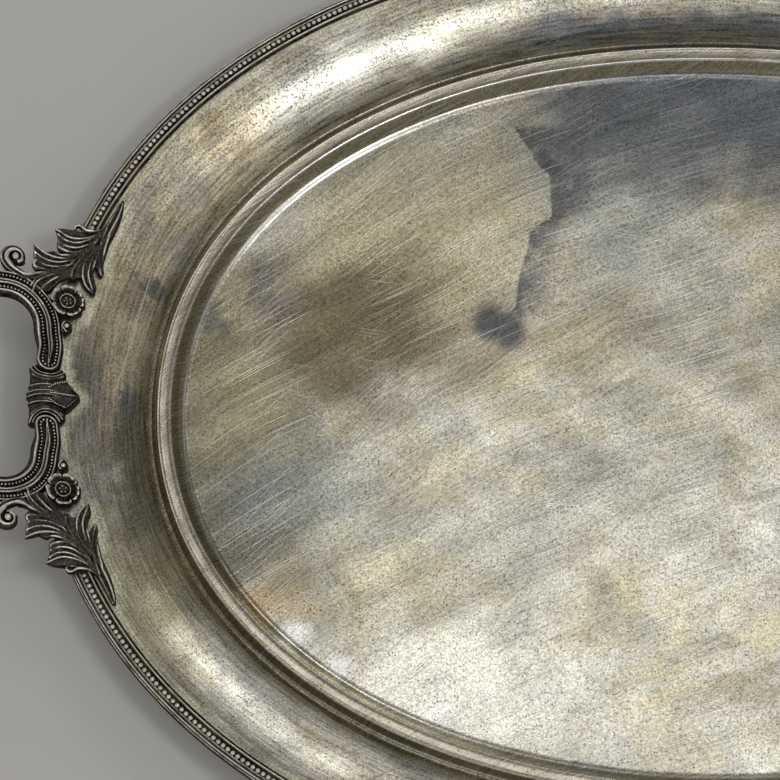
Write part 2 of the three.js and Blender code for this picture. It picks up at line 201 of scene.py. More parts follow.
def mark_relief(piece, reach=0.9, cell=0.2, span=0.8):
    """Stores how far each point stands above its surroundings: 0 in a hollow, 1 on a crest.

    The surroundings are the mean height of the upper faces within the reach, on a grid of cells."""
    points = places_of(piece.data)
    normal = np.empty(len(points) * 3, dtype=np.float32)
    piece.data.vertices.foreach_get("normal", normal)
    upward = normal.reshape(-1, 3)[:, 2] > 0.15
    low = points[:, :2].min(0) - 4 * reach
    at = tuple(np.floor((points[:, :2] - low) / cell).astype(int).T)
    margin = int(4 * reach / cell) + 1
    top = np.full((at[0].max() + margin, at[1].max() + margin), -np.inf)
    np.maximum.at(top, (at[0][upward], at[1][upward]), points[upward, 2])
    filled = np.isfinite(top)
    steps = round(reach / cell)
    share = np.maximum(blur(filled.astype(float), steps), 1e-6)
    mean = blur(np.where(filled, top, 0), steps) / share
    relief = np.clip(0.5 + (points[:, 2] - mean[at]) / span, 0, 1)
    piece.data.attributes.new("relief", "FLOAT", "POINT").data.foreach_set("value", relief)


def weld_mesh(mesh, distance):
    """Merges points that lie within the distance, and drops the slivers that are left."""
    shape = bmesh.new()
    shape.from_mesh(mesh)
    bmesh.ops.remove_doubles(shape, verts=shape.verts, dist=distance)
    bmesh.ops.dissolve_degenerate(shape, edges=shape.edges, dist=distance / 4)
    shape.to_mesh(mesh)
    shape.free()


# ---------------------------------------------------------------- the tray's plan


class Oval:
    """The ledge's outline and the lines parallel to it."""

    SAMPLES = 24000

    def __init__(self, half_length, half_width, squareness):
        angle = np.linspace(0, 2 * np.pi, self.SAMPLES + 1)
        c, s = np.cos(angle), np.sin(angle)
        power = np.abs(c / half_length) ** squareness + np.abs(s / half_width) ** squareness
        radius = power ** (-1 / squareness)
        self.place = np.stack([radius * c, radius * s], -1)
        gx = np.sign(c) * np.abs(self.place[:, 0] / half_length) ** (squareness - 1) / half_length
        gy = np.sign(s) * np.abs(self.place[:, 1] / half_width) ** (squareness - 1) / half_width
        self.normal = np.stack([gx, gy], -1) / np.hypot(gx, gy)[:, None]

    def stations(self, offset, count, start=0.0, end=1.0, wrap=True):
        """Points and normals at equal steps along the parallel at this offset, from one share of its
        length to another."""
        length = lengths_along(self.place + self.normal * offset)
        at = np.linspace(start, end, count, endpoint=not wrap) * length[-1]
        place = np.stack([np.interp(at, length, self.place[:, k]) for k in (0, 1)], -1)
        normal = np.stack([np.interp(at, length, self.normal[:, k]) for k in (0, 1)], -1)
        return place, normal / np.linalg.norm(normal, axis=1)[:, None]

    def length(self, offset):
        """The length of the parallel at this offset."""
        return lengths_along(self.place + self.normal * offset)[-1]


LEDGE = Oval(LEDGE_HALF_LENGTH, LEDGE_HALF_WIDTH, SQUARENESS)


def sweep(place, normal, profile):
    """Points of an (offset, height) profile carried to each station: one row for each profile point."""
    plan = place[None] + normal[None] * profile[:, None, :1]
    height = np.broadcast_to(profile[:, 1, None, None], plan.shape[:2] + (1,))
    return np.concatenate([plan, height], -1)


# ---------------------------------------------------------------- the sheet


def flange_height(offset):
    """Height of the flange's top face: steepest at the crease, level under the border."""
    t = (np.minimum(offset, FLANGE_END) - CREASE_OFFSET) / (FLANGE_END - CREASE_OFFSET)
    return CREASE_HEIGHT + (FLANGE_TOP - CREASE_HEIGHT) * (1.55 * t - 0.55 * t * t)


# The step round the floor, as offset and height: fillet, wall, crown, outer wall and crease.
STEP_PROFILE = [
    (-12.6, 1.2), (-11.6, 1.21), (-10.7, 1.3), (-9.9, 1.5), (-9.2, 1.85), (-8.5, 2.45), (-7.9, 3.15),
    (-7.0, 4.4), (-6.1, 5.7), (-5.55, 6.45), (-5.2, 6.74), (-4.85, 6.82), (-4.45, 6.74), (-3.6, 6.62),
    (-2.2, 6.6), (-1.1, 6.62), (-0.6, 6.74), (-0.2, 6.83), (0.15, 6.74), (0.5, 6.35), (1.0, 5.6),
    (1.7, 4.65), (2.3, 3.95), (2.7, 3.66), (3.2, 3.46), (CREASE_OFFSET, CREASE_HEIGHT + 0.02),
]


def sheet_profile():
    """The sheet's top face from the edge of the floor outwards."""
    step = smooth(STEP_PROFILE, 4)
    under_border = np.linspace(FLANGE_END + 0.5, SHEET_EDGE - 0.2, 6)
    flange = np.concatenate([np.linspace(CREASE_OFFSET + 0.4, FLANGE_END, 46), under_border])
    return np.vstack([step, np.stack([flange, flange_height(flange)], -1)])


def underside(top):
    """The same line moved down, square to itself, by the thickness of the sheet."""
    under = top + directions(top)[1] * SHEET_THICKNESS
    under[:, 1] = np.maximum(under[:, 1], 0.0)
    return under


def hand_work(x, y):
    """The slight unevenness of a hand-finished sheet, in millimetres of height."""
    return (
        0.10 * np.sin(x / 17 + 0.6 * np.sin(y / 23))
        + 0.08 * np.sin(y / 13 + 1.1 * np.sin(x / 29) + 0.7)
        + 0.05 * np.sin((x + y) / 8.5 + 2.0 * np.sin(y / 31))
        + 0.04 * np.sin((x - 1.7 * y) / 6.5 + 1.3)
    )


def floor_rings(edge):
    """The floor's top face as rings about its centre, from the smallest outwards."""
    height = np.full(len(edge), SHEET_THICKNESS)
    return np.stack([np.column_stack([edge[:, :2] * s, height]) for s in np.linspace(0.03, 0.985, 34)])


def build_sheet():
    """The whole sheet: floor, step and flange, their undersides and the edge that the border covers.

    Each point also stores its turn round the tray and its offset, as the vector named ring."""
    place, normal = LEDGE.stations(0.0, SHEET_STATIONS)
    top = sheet_profile()
    under = underside(top)
    edge = sweep(place, normal, top[:1])[0]
    floor = floor_rings(edge)
    rim = np.array([(SHEET_EDGE, top[-1, 1] - 0.3), (SHEET_EDGE, under[-1, 1] + 0.3)])
    shell = sweep(place, normal, np.vstack([top, rim, under[::-1]]))
    base = floor[::-1] * np.array([1, 1, 0])
    rows = np.concatenate([floor, shell, base])
    upper = rows[: len(floor) + len(top)]
    fade = np.clip((LEDGE_HEIGHT + 13 - upper[..., 2]) / 5, 0.15, 1)
    upper[..., 2] += hand_work(upper[..., 0], upper[..., 1]) * fade
    shells = Shells()
    shells.add_rings(rows)
    piece = shells.object("worn_sheet")
    floor_offset = top[0, 0] - np.linalg.norm(edge[None] - floor, axis=2).min(1)
    base_offset = np.full(len(base), -200.0)
    offset = np.concatenate([floor_offset, top[:, 0], rim[:, 0], under[::-1, 0], base_offset])
    turn = np.linspace(0, 2 * np.pi, SHEET_STATIONS, endpoint=False)
    ring = np.stack(np.broadcast_arrays(np.cos(turn)[None], np.sin(turn)[None], offset[:, None]), -1)
    piece.data.attributes.new("ring", "FLOAT_VECTOR", "POINT").data.foreach_set("vector", ring.ravel())
    return piece


# ---------------------------------------------------------------- the border


def bump(offset, middle, half, height):
    """A rounded reed across the moulding."""
    u = np.clip(np.abs(offset - middle) / half, 0, 1)
    return height * np.sqrt(1 - u**2)


def border_relief(offset):
    """Height of the moulding above its seat, from its inner seam to its outer edge."""
    base = np.interp(
        offset,
        [39.9, 40.2, 41.0, 41.7, 42.4, 42.7, 44.5, 44.8, 46.1, 46.9, 47.4, RIM_EDGE],
        [0.15, 0.25, 0.9, 1.0, 0.75, 0.7, 0.7, 1.35, 0.95, 0.8, 0.55, 0.2],
    )
    reeds = bump(offset, 41.3, 0.4, 0.75) + bump(offset, 46.5, 0.42, 0.6) + bump(offset, 47.5, 0.36, 0.7)
    return base + reeds


def border_profile(seat):
    """The moulding's section: its relief, its lip over the sheet's edge, and its flat underside."""
    offset = np.linspace(39.9, RIM_EDGE, 86)
    top = np.stack([offset, seat + border_relief(offset)], -1)
    back = [
        (RIM_EDGE, seat - 0.8), (RIM_EDGE - 0.1, seat - 1.8), (RIM_EDGE - 0.5, seat - 2.1),
        (RIM_EDGE - 1.0, seat - 1.9), (RIM_EDGE - 1.2, seat - 0.2), (40.0, seat - 0.2),
    ]
    return np.vstack([top, back])


def build_border(name, side_y):
    """One length of moulding with its row of beads, wrapped over the edge of the sheet."""
    seat = BORDER_LOW[2] + BORDER_DEPTH
    bead_line = LEDGE.length(BEAD_ROW)
    start = (BORDER_LOW[1] - 6.0) / bead_line
    place, normal = LEDGE.stations(BEAD_ROW, BORDER_STATIONS, start, 0.5 - start, wrap=False)
    shells = Shells(1, side_y)
    shells.add_rings(sweep(place, normal, border_profile(seat)).transpose(1, 0, 2))
    beads = int((0.5 - 2 * start) * bead_line / BEAD_PITCH)
    place, normal = LEDGE.stations(BEAD_ROW, beads, start, 0.5 - start, wrap=False)
    centres = np.column_stack([place + normal * BEAD_ROW, np.full(beads, seat + 0.72)])
    for centre, outward in zip(centres, normal):
        add_bead(shells, centre, outward, BEAD_RADII)
    return shells.object(name)


BEAD_RINGS, BEAD_SIDES = 7, 12


def add_bead(shells, centre, outward, radii):
    """A bead with its radii along outward, along the row and upwards; its lower half is buried."""
    polar = np.linspace(0.02, 0.62 * np.pi, BEAD_RINGS)
    turn = np.linspace(0, 2 * np.pi, BEAD_SIDES, endpoint=False)
    p, q = np.meshgrid(polar, turn, indexing="ij")
    across = radii[0] * np.sin(p) * np.cos(q)
    along = radii[1] * np.sin(p) * np.sin(q)
    up = radii[2] * np.cos(p)
    x = centre[0] + across * outward[0] - along * outward[1]
    y = centre[1] + across * outward[1] + along * outward[0]
    shells.add_rings(np.stack([x, y, centre[2] + up], -1))


# ---------------------------------------------------------------- the handles


# Height of a handle's top face along X: nearly level on the flange, then rising outwards.
HANDLE_RISE = smooth(
    [(252, 21.4), (257, 22.8), (262, 24.6), (267, 26.8), (272, 29.3), (276, 31.8), (280, 34.4), (286, 37.2),
     (293, 39.9), (300, 42.4), (309, 45.0), (318, 47.3), (326, 49.4)],
    8,
)


def handle_top(x):
    """Height of the handle's face at x, counted outwards from the tray's centre."""
    return np.interp(x, HANDLE_RISE[:, 0], HANDLE_RISE[:, 1])


def arm_spine():
    """The middle line of a scroll arm, between the centres of its two round ends."""
    corner = np.array([ARM_X + ARM_BEND, ARM_SIDE_Y - ARM_BEND])
    angle = np.linspace(np.pi, np.pi / 2, 40)
    bend = corner + ARM_BEND * np.stack([np.cos(angle), np.sin(angle)], -1)
    straight = np.stack([np.full(20, ARM_X), np.linspace(ARM_END_Y, bend[0, 1], 20, endpoint=False)], -1)
    last = np.stack([np.linspace(bend[-1, 0], ARM_HIGH[0] - 1.5, 14)[1:], np.full(13, ARM_SIDE_Y)], -1)
    spine = np.vstack([straight, bend, last])
    spine[:, 0] -= ARM_BOW * np.exp(-(((spine[:, 1] - 20) / 5) ** 2))
    return spine


def round_ended_loop(spine, end_steps=24):
    """Goes all round a spine, with half circles at its ends.

    Returns the places, their outward normals, how far towards the spine's right-hand side each one looks,
    and each one's length along the spine."""
    tangent, right = directions(spine)
    angle = np.linspace(0, np.pi, end_steps + 2)[1:-1]

    def fan(normal, ahead):
        return np.cos(angle)[:, None] * normal + np.sin(angle)[:, None] * ahead

    ends = np.repeat(spine[-1:], end_steps, 0), np.repeat(spine[:1], end_steps, 0)
    place = np.vstack([spine, ends[0], spine[::-1], ends[1]])
    normal = np.vstack([right, fan(right[-1], tangent[-1]), -right[::-1], fan(-right[0], -tangent[0])])
    turn = np.clip(np.cos(angle), 0, 1)
    grow = 0.5 - 0.5 * np.cos(np.pi * np.clip(lengths_along(spine) / 12, 0, 1))
    rightness = np.concatenate([grow, turn, np.zeros(len(spine)), 0 * turn])
    length = lengths_along(spine)
    length = np.concatenate([length, np.full(end_steps, length[-1]), length[::-1], np.zeros(end_steps)])
    return place, normal, rightness, length


# The arm's section: distance from the spine, depth below the crown.
ARM_SECTION = np.array([
    (0.0, 0.42), (0.3, 0.38), (0.5, 0.2), (0.68, 0.08), (0.85, 0.25), (1.05, 0.9), (1.4, 1.3), (1.9, 1.4),
    (2.5, 1.42), (3.0, 1.35), (3.3, 1.1), (3.45, 0.7), (3.6, 0.22), (3.75, 0.02), (3.9, 0.0), (4.05, 0.12),
    (4.15, 0.45), (4.25, 0.8), (4.4, 1.05), (4.6, 1.5), (4.8, 2.2), (4.9, 3.1), (4.75, 4.1), (4.4, 4.9),
    (3.5, ARM_THICKNESS), (1.6, ARM_THICKNESS), (0.0, ARM_THICKNESS),
])
RIB_EDGE = 1.2
RIB_TAPER = 7.0


def arm_rows(place, normal, rightness, length):
    """The arm's skin: one row of points round the arm for each point of its section."""
    distance = ARM_SECTION[:, 0, None]
    depth = ARM_SECTION[:, 1, None]
    on_rib = distance < RIB_EDGE
    slope = np.clip((distance - 4.05) / 0.75, 0, 1) * ARM_SLOPE * rightness
    taper = np.clip(0.2 + 0.8 * length / RIB_TAPER, 0, 1)
    distance = np.where(on_rib, distance * taper, distance + slope * (depth < 4.5))
    plan = place[None] + normal[None] * distance[..., None]
    plan[..., 1] -= on_rib * 1.8 * np.clip(1 - length / RIB_TAPER, 0, 1)
    height = handle_top(plan[..., 0]) - depth
    return np.concatenate([plan, height[..., None]], -1)


def build_arm(name, side_x, side_y):
    """A scroll arm: a rib and a raised rim with a row of fine beads between them, carried round both ends.
    Towards the opening for the hand its flank slopes further out."""
    place, normal, rightness, length = round_ended_loop(arm_spine())
    rows = arm_rows(place, normal, rightness, length)
    shells = Shells(side_x, side_y)
    shells.add(rows, list(lattice(len(rows), len(place))))
    body = shells.object(name, weld=0.004)
    beads = Shells(side_x, side_y)
    line = place + normal * ARM_BEAD_ROW
    line = np.vstack([line, line[:1]])
    length = lengths_along(line)
    at = np.arange(0, length[-1], ARM_BEAD_PITCH)
    for x, y in zip(*(np.interp(at, length, line[:, k]) for k in (0, 1))):
        add_bead(beads, (x, y, handle_top(x) - 1.3), (1.0, 0.0), ARM_BEAD_RADII)
    return join(body, beads.object(name + "_beads"))


def join(first, second):
    """Adds the second object's mesh to the first."""
    pair = [first, second]
    with bpy.context.temp_override(active_object=first, object=first, selected_editable_objects=pair):
        bpy.ops.object.join()
    return first


# ---------------------------------------------------------------- the acanthus sprays

LEAF_DEPTH = 3.6
CASTING_VOXEL = 0.26

# The body of the spray and its lobes: two edges each, from the root to the tip, and the lift above the
# handle's face.
LEAF_LOBES = [
    # stem and tail
    ([(263.8, 50.2), (262.6, 55.3), (259.6, 61.0), (255.0, 66.6), (251.2, 72.4), (249.4, 76.6),
      (246.2, 82.3), (243.6, 87.0)],
     [(261.8, 50.0), (257.6, 57.0), (252.6, 62.6), (247.9, 68.7), (244.6, 76.1), (243.0, 82.0),
      (242.5, 86.8)], 0.0),
    # first outer lobe
    ([(249.8, 75.0), (253.5, 73.0), (259.1, 72.2), (263.2, 72.4), (267.4, 72.4), (270.4, 71.6)],
     [(255.0, 66.4), (258.9, 63.7), (262.4, 61.4), (265.8, 60.7), (268.9, 62.5), (269.4, 65.2),
      (269.0, 67.0), (270.0, 71.0)], -0.1),
    # second outer lobe
    ([(256.6, 65.0), (260.6, 62.0), (264.1, 59.6), (267.7, 59.7), (270.4, 61.7), (273.3, 60.8),
      (275.8, 61.9), (278.5, 63.0)],
     [(262.2, 55.4), (267.0, 53.4), (271.6, 51.5), (276.4, 50.8), (278.9, 53.6), (277.8, 55.8),
      (278.4, 58.4), (278.2, 62.4)], -0.1),
    # serrated leaf over the arm
    ([(262.6, 56.0), (268.9, 53.0), (273.4, 51.1), (276.2, 48.4), (278.0, 46.6), (279.0, 44.9),
      (278.0, 43.6), (278.7, 40.9)],
     [(262.6, 51.0), (265.6, 50.6), (267.8, 49.4), (269.6, 46.8), (271.3, 43.6), (273.0, 42.6),
      (275.6, 42.6), (278.3, 41.0)], 0.45),
    # inner lobe beside the rosette
    ([(254.6, 66.0), (258.6, 60.6), (261.4, 57.0), (262.9, 53.0), (261.8, 50.6), (259.9, 51.6),
      (257.9, 48.0), (254.3, 44.7)],
     [(251.0, 66.6), (252.8, 61.6), (254.2, 57.0), (254.9, 54.4), (254.3, 51.4), (253.3, 48.6),
      (253.9, 44.9)], 0.25),
    # inner lobe on the flange
    ([(251.8, 69.6), (252.8, 63.6), (253.6, 58.4), (253.3, 55.6), (251.6, 52.9)],
     [(247.4, 70.6), (249.4, 63.6), (250.6, 58.6), (250.3, 55.4), (251.2, 53.0)], 0.1),
    # web under the volute's stem
    ([(265.0, 54.6), (271.0, 52.2), (276.4, 50.4), (281.6, 50.0)],
     [(264.6, 51.6), (270.6, 49.6), (275.8, 47.2), (281.0, 46.6)], -0.1),
]

# The web inside the volute's curl, and the rolled bead of the first outer lobe.
CURL_WEB = (
    [(281.4, 54.0), (283.6, 52.6), (287.6, 53.0)],
    [(282.8, 58.0), (285.6, 58.8), (288.0, 56.6)],
    -0.9,
)
ROLLED_TIP = [(253.5, 72.6), (257.4, 72.6), (260.2, 74.2), (262.0, 73.8), (262.2, 72.4)]
CURL_EYE = (285.1, 55.6)

# Veins that stand on the lobes, from root to tip.
LEAF_VEINS = [
    # along the stem and the tail
    [(263.4, 50.8), (261.8, 56.2), (257.4, 62.8), (252.8, 69.2), (248.6, 76.2), (244.2, 85.4)],
    [(272.5, 52.2), (265.6, 54.8), (261.2, 59.6), (256.4, 65.4), (251.6, 72.2), (247.6, 79.0),
     (243.6, 86.6)],
    [(260.6, 56.0), (256.0, 61.6), (251.4, 67.0), (247.6, 73.4), (244.6, 80.0), (243.0, 85.6)],
    # first outer lobe
    [(250.4, 74.4), (254.4, 72.4), (259.6, 71.8), (262.6, 72.2)],
    [(251.6, 72.6), (256.4, 69.4), (263.6, 68.4), (269.8, 71.4)],
    [(253.0, 70.4), (260.2, 66.8), (265.4, 66.9), (269.2, 69.4)],
    [(254.8, 67.6), (260.2, 64.6), (264.8, 64.4), (268.7, 66.2)],
    [(256.5, 65.2), (260.6, 62.6), (264.6, 62.2), (268.4, 63.8)],
    # second outer lobe
    [(258.6, 62.6), (265.6, 58.9), (272.6, 59.4), (278.2, 62.6)],
    [(260.0, 60.0), (268.0, 56.8), (273.8, 57.2), (278.0, 59.6)],
    [(261.4, 57.4), (268.6, 54.7), (274.0, 54.7), (277.6, 56.2)],
    [(262.6, 55.4), (268.6, 53.2), (273.8, 52.6), (278.0, 53.4)],
    [(259.8, 62.6), (264.2, 60.6), (268.2, 60.2), (270.6, 61.4)],
    # serrated leaf over the arm
    [(263.6, 53.6), (270.8, 50.6), (276.2, 46.6), (278.4, 41.4)],
    [(263.8, 52.3), (269.4, 49.3), (273.2, 45.8), (275.4, 42.8)],
    [(264.0, 51.2), (267.6, 48.8), (270.2, 45.8), (272.4, 42.9)],
    [(266.6, 53.4), (272.6, 50.8), (276.4, 48.2), (278.6, 44.9)],
    # inner lobes
    [(249.2, 74.4), (251.6, 67.6), (252.2, 60.8), (251.9, 56.4), (251.3, 53.2)],
    [(247.9, 72.6), (249.8, 65.6), (250.9, 59.2), (250.8, 55.4)],
    [(254.4, 66.6), (259.2, 59.6), (261.9, 54.6), (261.2, 51.2)],
    [(253.8, 65.8), (257.6, 59.2), (258.7, 53.6), (257.4, 48.4), (254.2, 45.0)],
    [(252.8, 65.4), (255.4, 58.8), (256.4, 53.4), (255.4, 48.8), (254.1, 45.4)],
    [(251.6, 66.0), (253.6, 60.0), (254.9, 54.4), (254.0, 50.6)],
]

# The volute's middle line, with its half-width at each point.
VOLUTE = [
    (272.0, 51.4, 0.9), (276.6, 49.4, 1.3), (280.6, 47.9, 1.6), (284.5, 49.3, 1.8), (287.8, 51.6, 1.95),
    (289.5, 54.6, 1.9), (288.7, 57.5, 1.65), (286.2, 59.0, 1.25), (283.7, 58.6, 0.95), (282.2, 56.6, 0.8),
    (282.7, 54.3, 0.7), (284.3, 53.1, 0.55),
]


def lobe_rings(edge_a, edge_b, lift, steps=40, across=13):
    """Rings of a cambered blade between two edges, rolled down along both of them."""
    edges = []
    for edge in (edge_a, edge_b):
        curve = smooth(edge, 10)
        length = lengths_along(curve)
        at = np.linspace(0, length[-1], steps)
        edges.append(np.stack([np.interp(at, length, curve[:, k]) for k in (0, 1)], -1))
    u = np.linspace(0, 1, across)
    side = np.abs(2 * u - 1)
    rise = 0.25 * (1 - side**2) - 0.75 * np.clip((side - 0.8) / 0.2, 0, 1) ** 2
    t = np.linspace(0, 1, steps)
    rings = []
    for a, b, share in zip(*edges, t):
        plan = a + (b - a) * u[:, None]
        width = np.linalg.norm(b - a)
        face = handle_top(plan[:, 0]) + lift - 0.9 * share**3 + rise * min(1.0, width / 4) - 0.35
        under = handle_top(plan[::-1, 0]) - LEAF_DEPTH
        rings.append(np.vstack([np.column_stack([plan, face]), np.column_stack([plan[::-1], under])]))
    return rings


def lift_at(x, y):
    """Height of the spray's body over the handle's face; the leaf that overlaps the arm stands higher."""
    over_arm = np.clip((x - 264) / 5, 0, 1) * np.clip((53 - y) / 3, 0, 1)
    beside_rosette = np.clip((262 - x) / 3, 0, 1) * np.clip((60 - y) / 6, 0, 1)
    beside_rosette *= np.clip((x - 252) / 3, 0, 1)
    return 0.5 * over_arm + 0.25 * beside_rosette


def vein_rings(points, half_width=0.56, stand=0.42):
    """Rings of a rounded vein that swells from its root and thins to its tip."""
    path = smooth(points, 8)
    share = lengths_along(path)
    share = share / share[-1]
    right = directions(path)[1]
    width = half_width * np.interp(share, [0, 0.25, 0.75, 1], [0.55, 1.0, 0.95, 0.45])
    crown = np.linspace(0, np.pi, 9)
    rings = []
    for p, n, w, t in zip(path, right, width, share):
        plan = p + n * np.cos(crown)[:, None] * w
        rise = stand * np.interp(t, [0, 0.2, 1], [0.5, 1, 0.9]) - 0.9 * t**3
        face = handle_top(plan[:, 0]) + lift_at(*p) + rise
        height = face - 1.3 * w * (1 - np.sin(crown))
        base = np.column_stack([plan[::-1][[0, -1]], np.full(2, height.min() - 1.4)])
        rings.append(np.vstack([np.column_stack([plan, height]), base]))
    return rings


def volute_rings():
    """Rings of the volute: a band that narrows as it winds in, higher along its outer side."""
    line = smooth([(x, y) for x, y, _ in VOLUTE], 9)
    width = smooth([(w, 0.0) for _, _, w in VOLUTE], 9)[:, 0]
    right = directions(line)[1]
    crown = np.linspace(0, np.pi, 13)
    rings = []
    for p, n, w in zip(line, right, width):
        side = np.cos(crown)
        plan = p - n * side[:, None] * w
        groove = 0.5 * w * np.exp(-(((side + 0.25) / 0.22) ** 2))
        fall = 0.9 * w * (1 - np.sin(crown) ** 0.8)
        height = handle_top(plan[:, 0]) + 0.6 - fall + 0.1 * side * w - groove
        base = np.column_stack([plan[::-1][[0, -1]], handle_top(plan[[0, -1], 0]) - 3.4])
        rings.append(np.vstack([np.column_stack([plan, height]), base]))
    return rings


def build_leaf(name, side_x, side_y):
    """The acanthus spray: lobes with veins on them, a long tail on the flange, and a volute outside."""
    shells = Shells(side_x, side_y)
    for edge_a, edge_b, lift in LEAF_LOBES:
        shells.add_rings(lobe_rings(edge_a, edge_b, lift))
    for vein in LEAF_VEINS:
        shells.add_rings(vein_rings(vein))
    shells.add_rings(vein_rings(ROLLED_TIP, 0.85, 0.7))
    shells.add_rings(volute_rings())
    shells.add_rings(lobe_rings(*CURL_WEB))
    add_ball(shells, (*CURL_EYE, handle_top(CURL_EYE[0]) - 0.15), 1.55)
    return fuse(shells.object(name), CASTING_VOXEL)


def fuse(piece, voxel):
    """Merges a piece's overlapping shells into one skin, then softens it slightly, as a casting is."""
    remesh = piece.modifiers.new("fuse", "REMESH")
    remesh.mode = "VOXEL"
    remesh.voxel_size = voxel * MM
    remesh.use_smooth_shade = True
    soften = piece.modifiers.new("soften", "SMOOTH")
    soften.factor = 0.5
    soften.iterations = 2
    evaluated = piece.evaluated_get(bpy.context.evaluated_depsgraph_get())
    mesh = bpy.data.meshes.new_from_object(evaluated)
    mesh.name = piece.data.name
    old = piece.data
    piece.modifiers.clear()
    piece.data = mesh
    bpy.data.meshes.remove(old)
    return piece


# ---------------------------------------------------------------- rosettes, collars and grips

PETALS = 5
PETAL_TURN = 0.18
ROSETTE_RADIUS = (ROSETTE_HIGH[0] - ROSETTE_LOW[0]) / 2
ROSETTE_X = (ROSETTE_HIGH[0] + ROSETTE_LOW[0]) / 2 - 0.5
ROSETTE_Y = ROSETTE_HIGH[1] - ROSETTE_RADIUS
BUD_X = ROSETTE_X + 0.3
BUD_Y = ROSETTE_LOW[1] + 2.3


def petal_share(angle):
    """Distance from the nearest gap between petals, from 0 at the gap to 0.5 at a petal's middle."""
    wave = (angle * PETALS / (2 * np.pi) + PETAL_TURN) % 1.0
    return np.minimum(wave, 1 - wave)


def petal_outline(angle):
    """Radius of the rosette's edge as a share of its size."""
    return 0.80 + 0.20 * np.clip(petal_share(angle) / 0.17, 0, 1) ** 0.55 + 0.012 * np.cos(angle * 13)


def rosette_height(radius, angle):
    """Relief of the rosette: dotted centre, raised ring, and cupped petals with rolled edges."""
    share = radius / (ROSETTE_RADIUS * petal_outline(angle))
    gap = np.exp(-((petal_share(angle) / 0.045) ** 2))
    ring = 0.8 * np.exp(-(((radius - 2.95) / 0.3) ** 2))
    star = 0.65 * np.exp(-(((radius - 1.3) / 0.45) ** 2)) * (0.5 + 0.5 * np.cos(PETALS * angle + 0.6))
    boss = 0.45 * np.exp(-((radius / 0.5) ** 2))
    cup = np.clip((share - 0.5) / 0.36, 0, 1) ** 2 * (1.25 + 0.12 * np.cos(angle * 17))
    cut = 1.1 * gap * np.clip((share - 0.46) / 0.12, 0, 1)
    edge = 1.5 * np.clip((share - 0.92) / 0.08, 0, 1) ** 2
    return 0.15 + ring + star + boss + cup - cut - edge


def build_rosette(name, side_x, side_y):
    """A five-petalled rosette with a small bud below it."""
    angle = np.linspace(0, 2 * np.pi, 200, endpoint=False)
    shares = np.concatenate([np.linspace(0.01, 0.9, 50), np.linspace(0.915, 1.0, 8)])
    radius = shares[:, None] * ROSETTE_RADIUS * petal_outline(angle)[None]
    x = ROSETTE_X + radius * np.cos(angle)
    y = ROSETTE_Y + radius * np.sin(angle)
    top = np.stack([x, y, handle_top(x) + rosette_height(radius, angle)], -1)
    skirt = top[-1:] - np.array([0, 0, 3.2])
    shells = Shells(side_x, side_y)
    shells.add_rings(np.concatenate([top, skirt]))
    add_bud(shells)
    return shells.object(name)


# The bud's setting, from its middle outwards: share of its radius, height over the handle's face.
BUD_SECTION = [
    (0.05, -1.3), (0.62, -1.25), (0.72, -0.6), (0.86, -0.4), (1.0, -0.7), (1.03, -1.6), (1.0, -5.0),
]


def add_bud(shells):
    """A ball in a pointed setting that hangs from the rosette."""
    angle = np.linspace(0, 2 * np.pi, 48, endpoint=False)
    point = 0.9 * np.exp(-(((angle - 1.5 * np.pi) / 0.35) ** 2))
    rings = []
    for share, rise in BUD_SECTION:
        radius = (2.0 + point) * share
        x, y = BUD_X + radius * np.cos(angle), BUD_Y + radius * np.sin(angle)
        rings.append(np.stack([x, y, handle_top(x) + rise], -1))
    shells.add_rings(rings)
    add_ball(shells, (BUD_X, BUD_Y, handle_top(BUD_X) - 0.9), 1.15)


def add_ball(shells, centre, radius):
    """A small round bead."""
    polar = np.linspace(0.05, np.pi - 0.05, 11)
    turn = np.linspace(0, 2 * np.pi, 16, endpoint=False)
    p, q = np.meshgrid(polar, turn, indexing="ij")
    offset = radius * np.stack([np.sin(p) * np.cos(q), np.sin(p) * np.sin(q), np.cos(p)], -1)
    shells.add_rings(np.asarray(centre) + offset)


COLLAR_X = (COLLAR_LOW[0] + COLLAR_HIGH[0]) / 2
COLLAR_Z = COLLAR_HIGH[2] - 8.0
COLLAR_HALF_LENGTH = 12.7

# How far the collar reaches over the flange: distance along Y from its middle, distance from its axis.
COLLAR_FLARE = np.array([
    (0.0, 7.0), (4.0, 7.4), (5.5, 8.6), (8.3, 8.8), (10.0, 8.1), (12.3, 6.5), (12.7, 5.8),
])
# The collar's arched mouldings: distance inside an arm's end, half-width, height over the barrel.
COLLAR_MOULDINGS = [
    (5.0, 0.3, -0.3), (6.0, 0.7, 0.4), (7.0, 0.25, 0.65), (7.6, 0.25, -0.6), (8.15, 0.22, 0.35),
]
# The straight ones across its middle: distance along Y, half-width, height.
COLLAR_RIDGES = [
    (0.0, 0.5, 0.2), (0.9, 0.24, 0.65), (1.5, 0.3, -0.3), (3.7, 0.28, 0.5), (4.4, 0.3, -0.3),
]


def ramp(value, low, high):
    """A smooth step from 0 at low to 1 at high."""
    t = np.clip((value - low) / (high - low), 0, 1)
    return t * t * (3 - 2 * t)


def moulded(distance, mouldings):
    """Sum of rounded ridges and grooves, each with its place, half-width and height."""
    return sum(rise * np.exp(-(((distance - at) / half) ** 2)) for at, half, rise in mouldings)


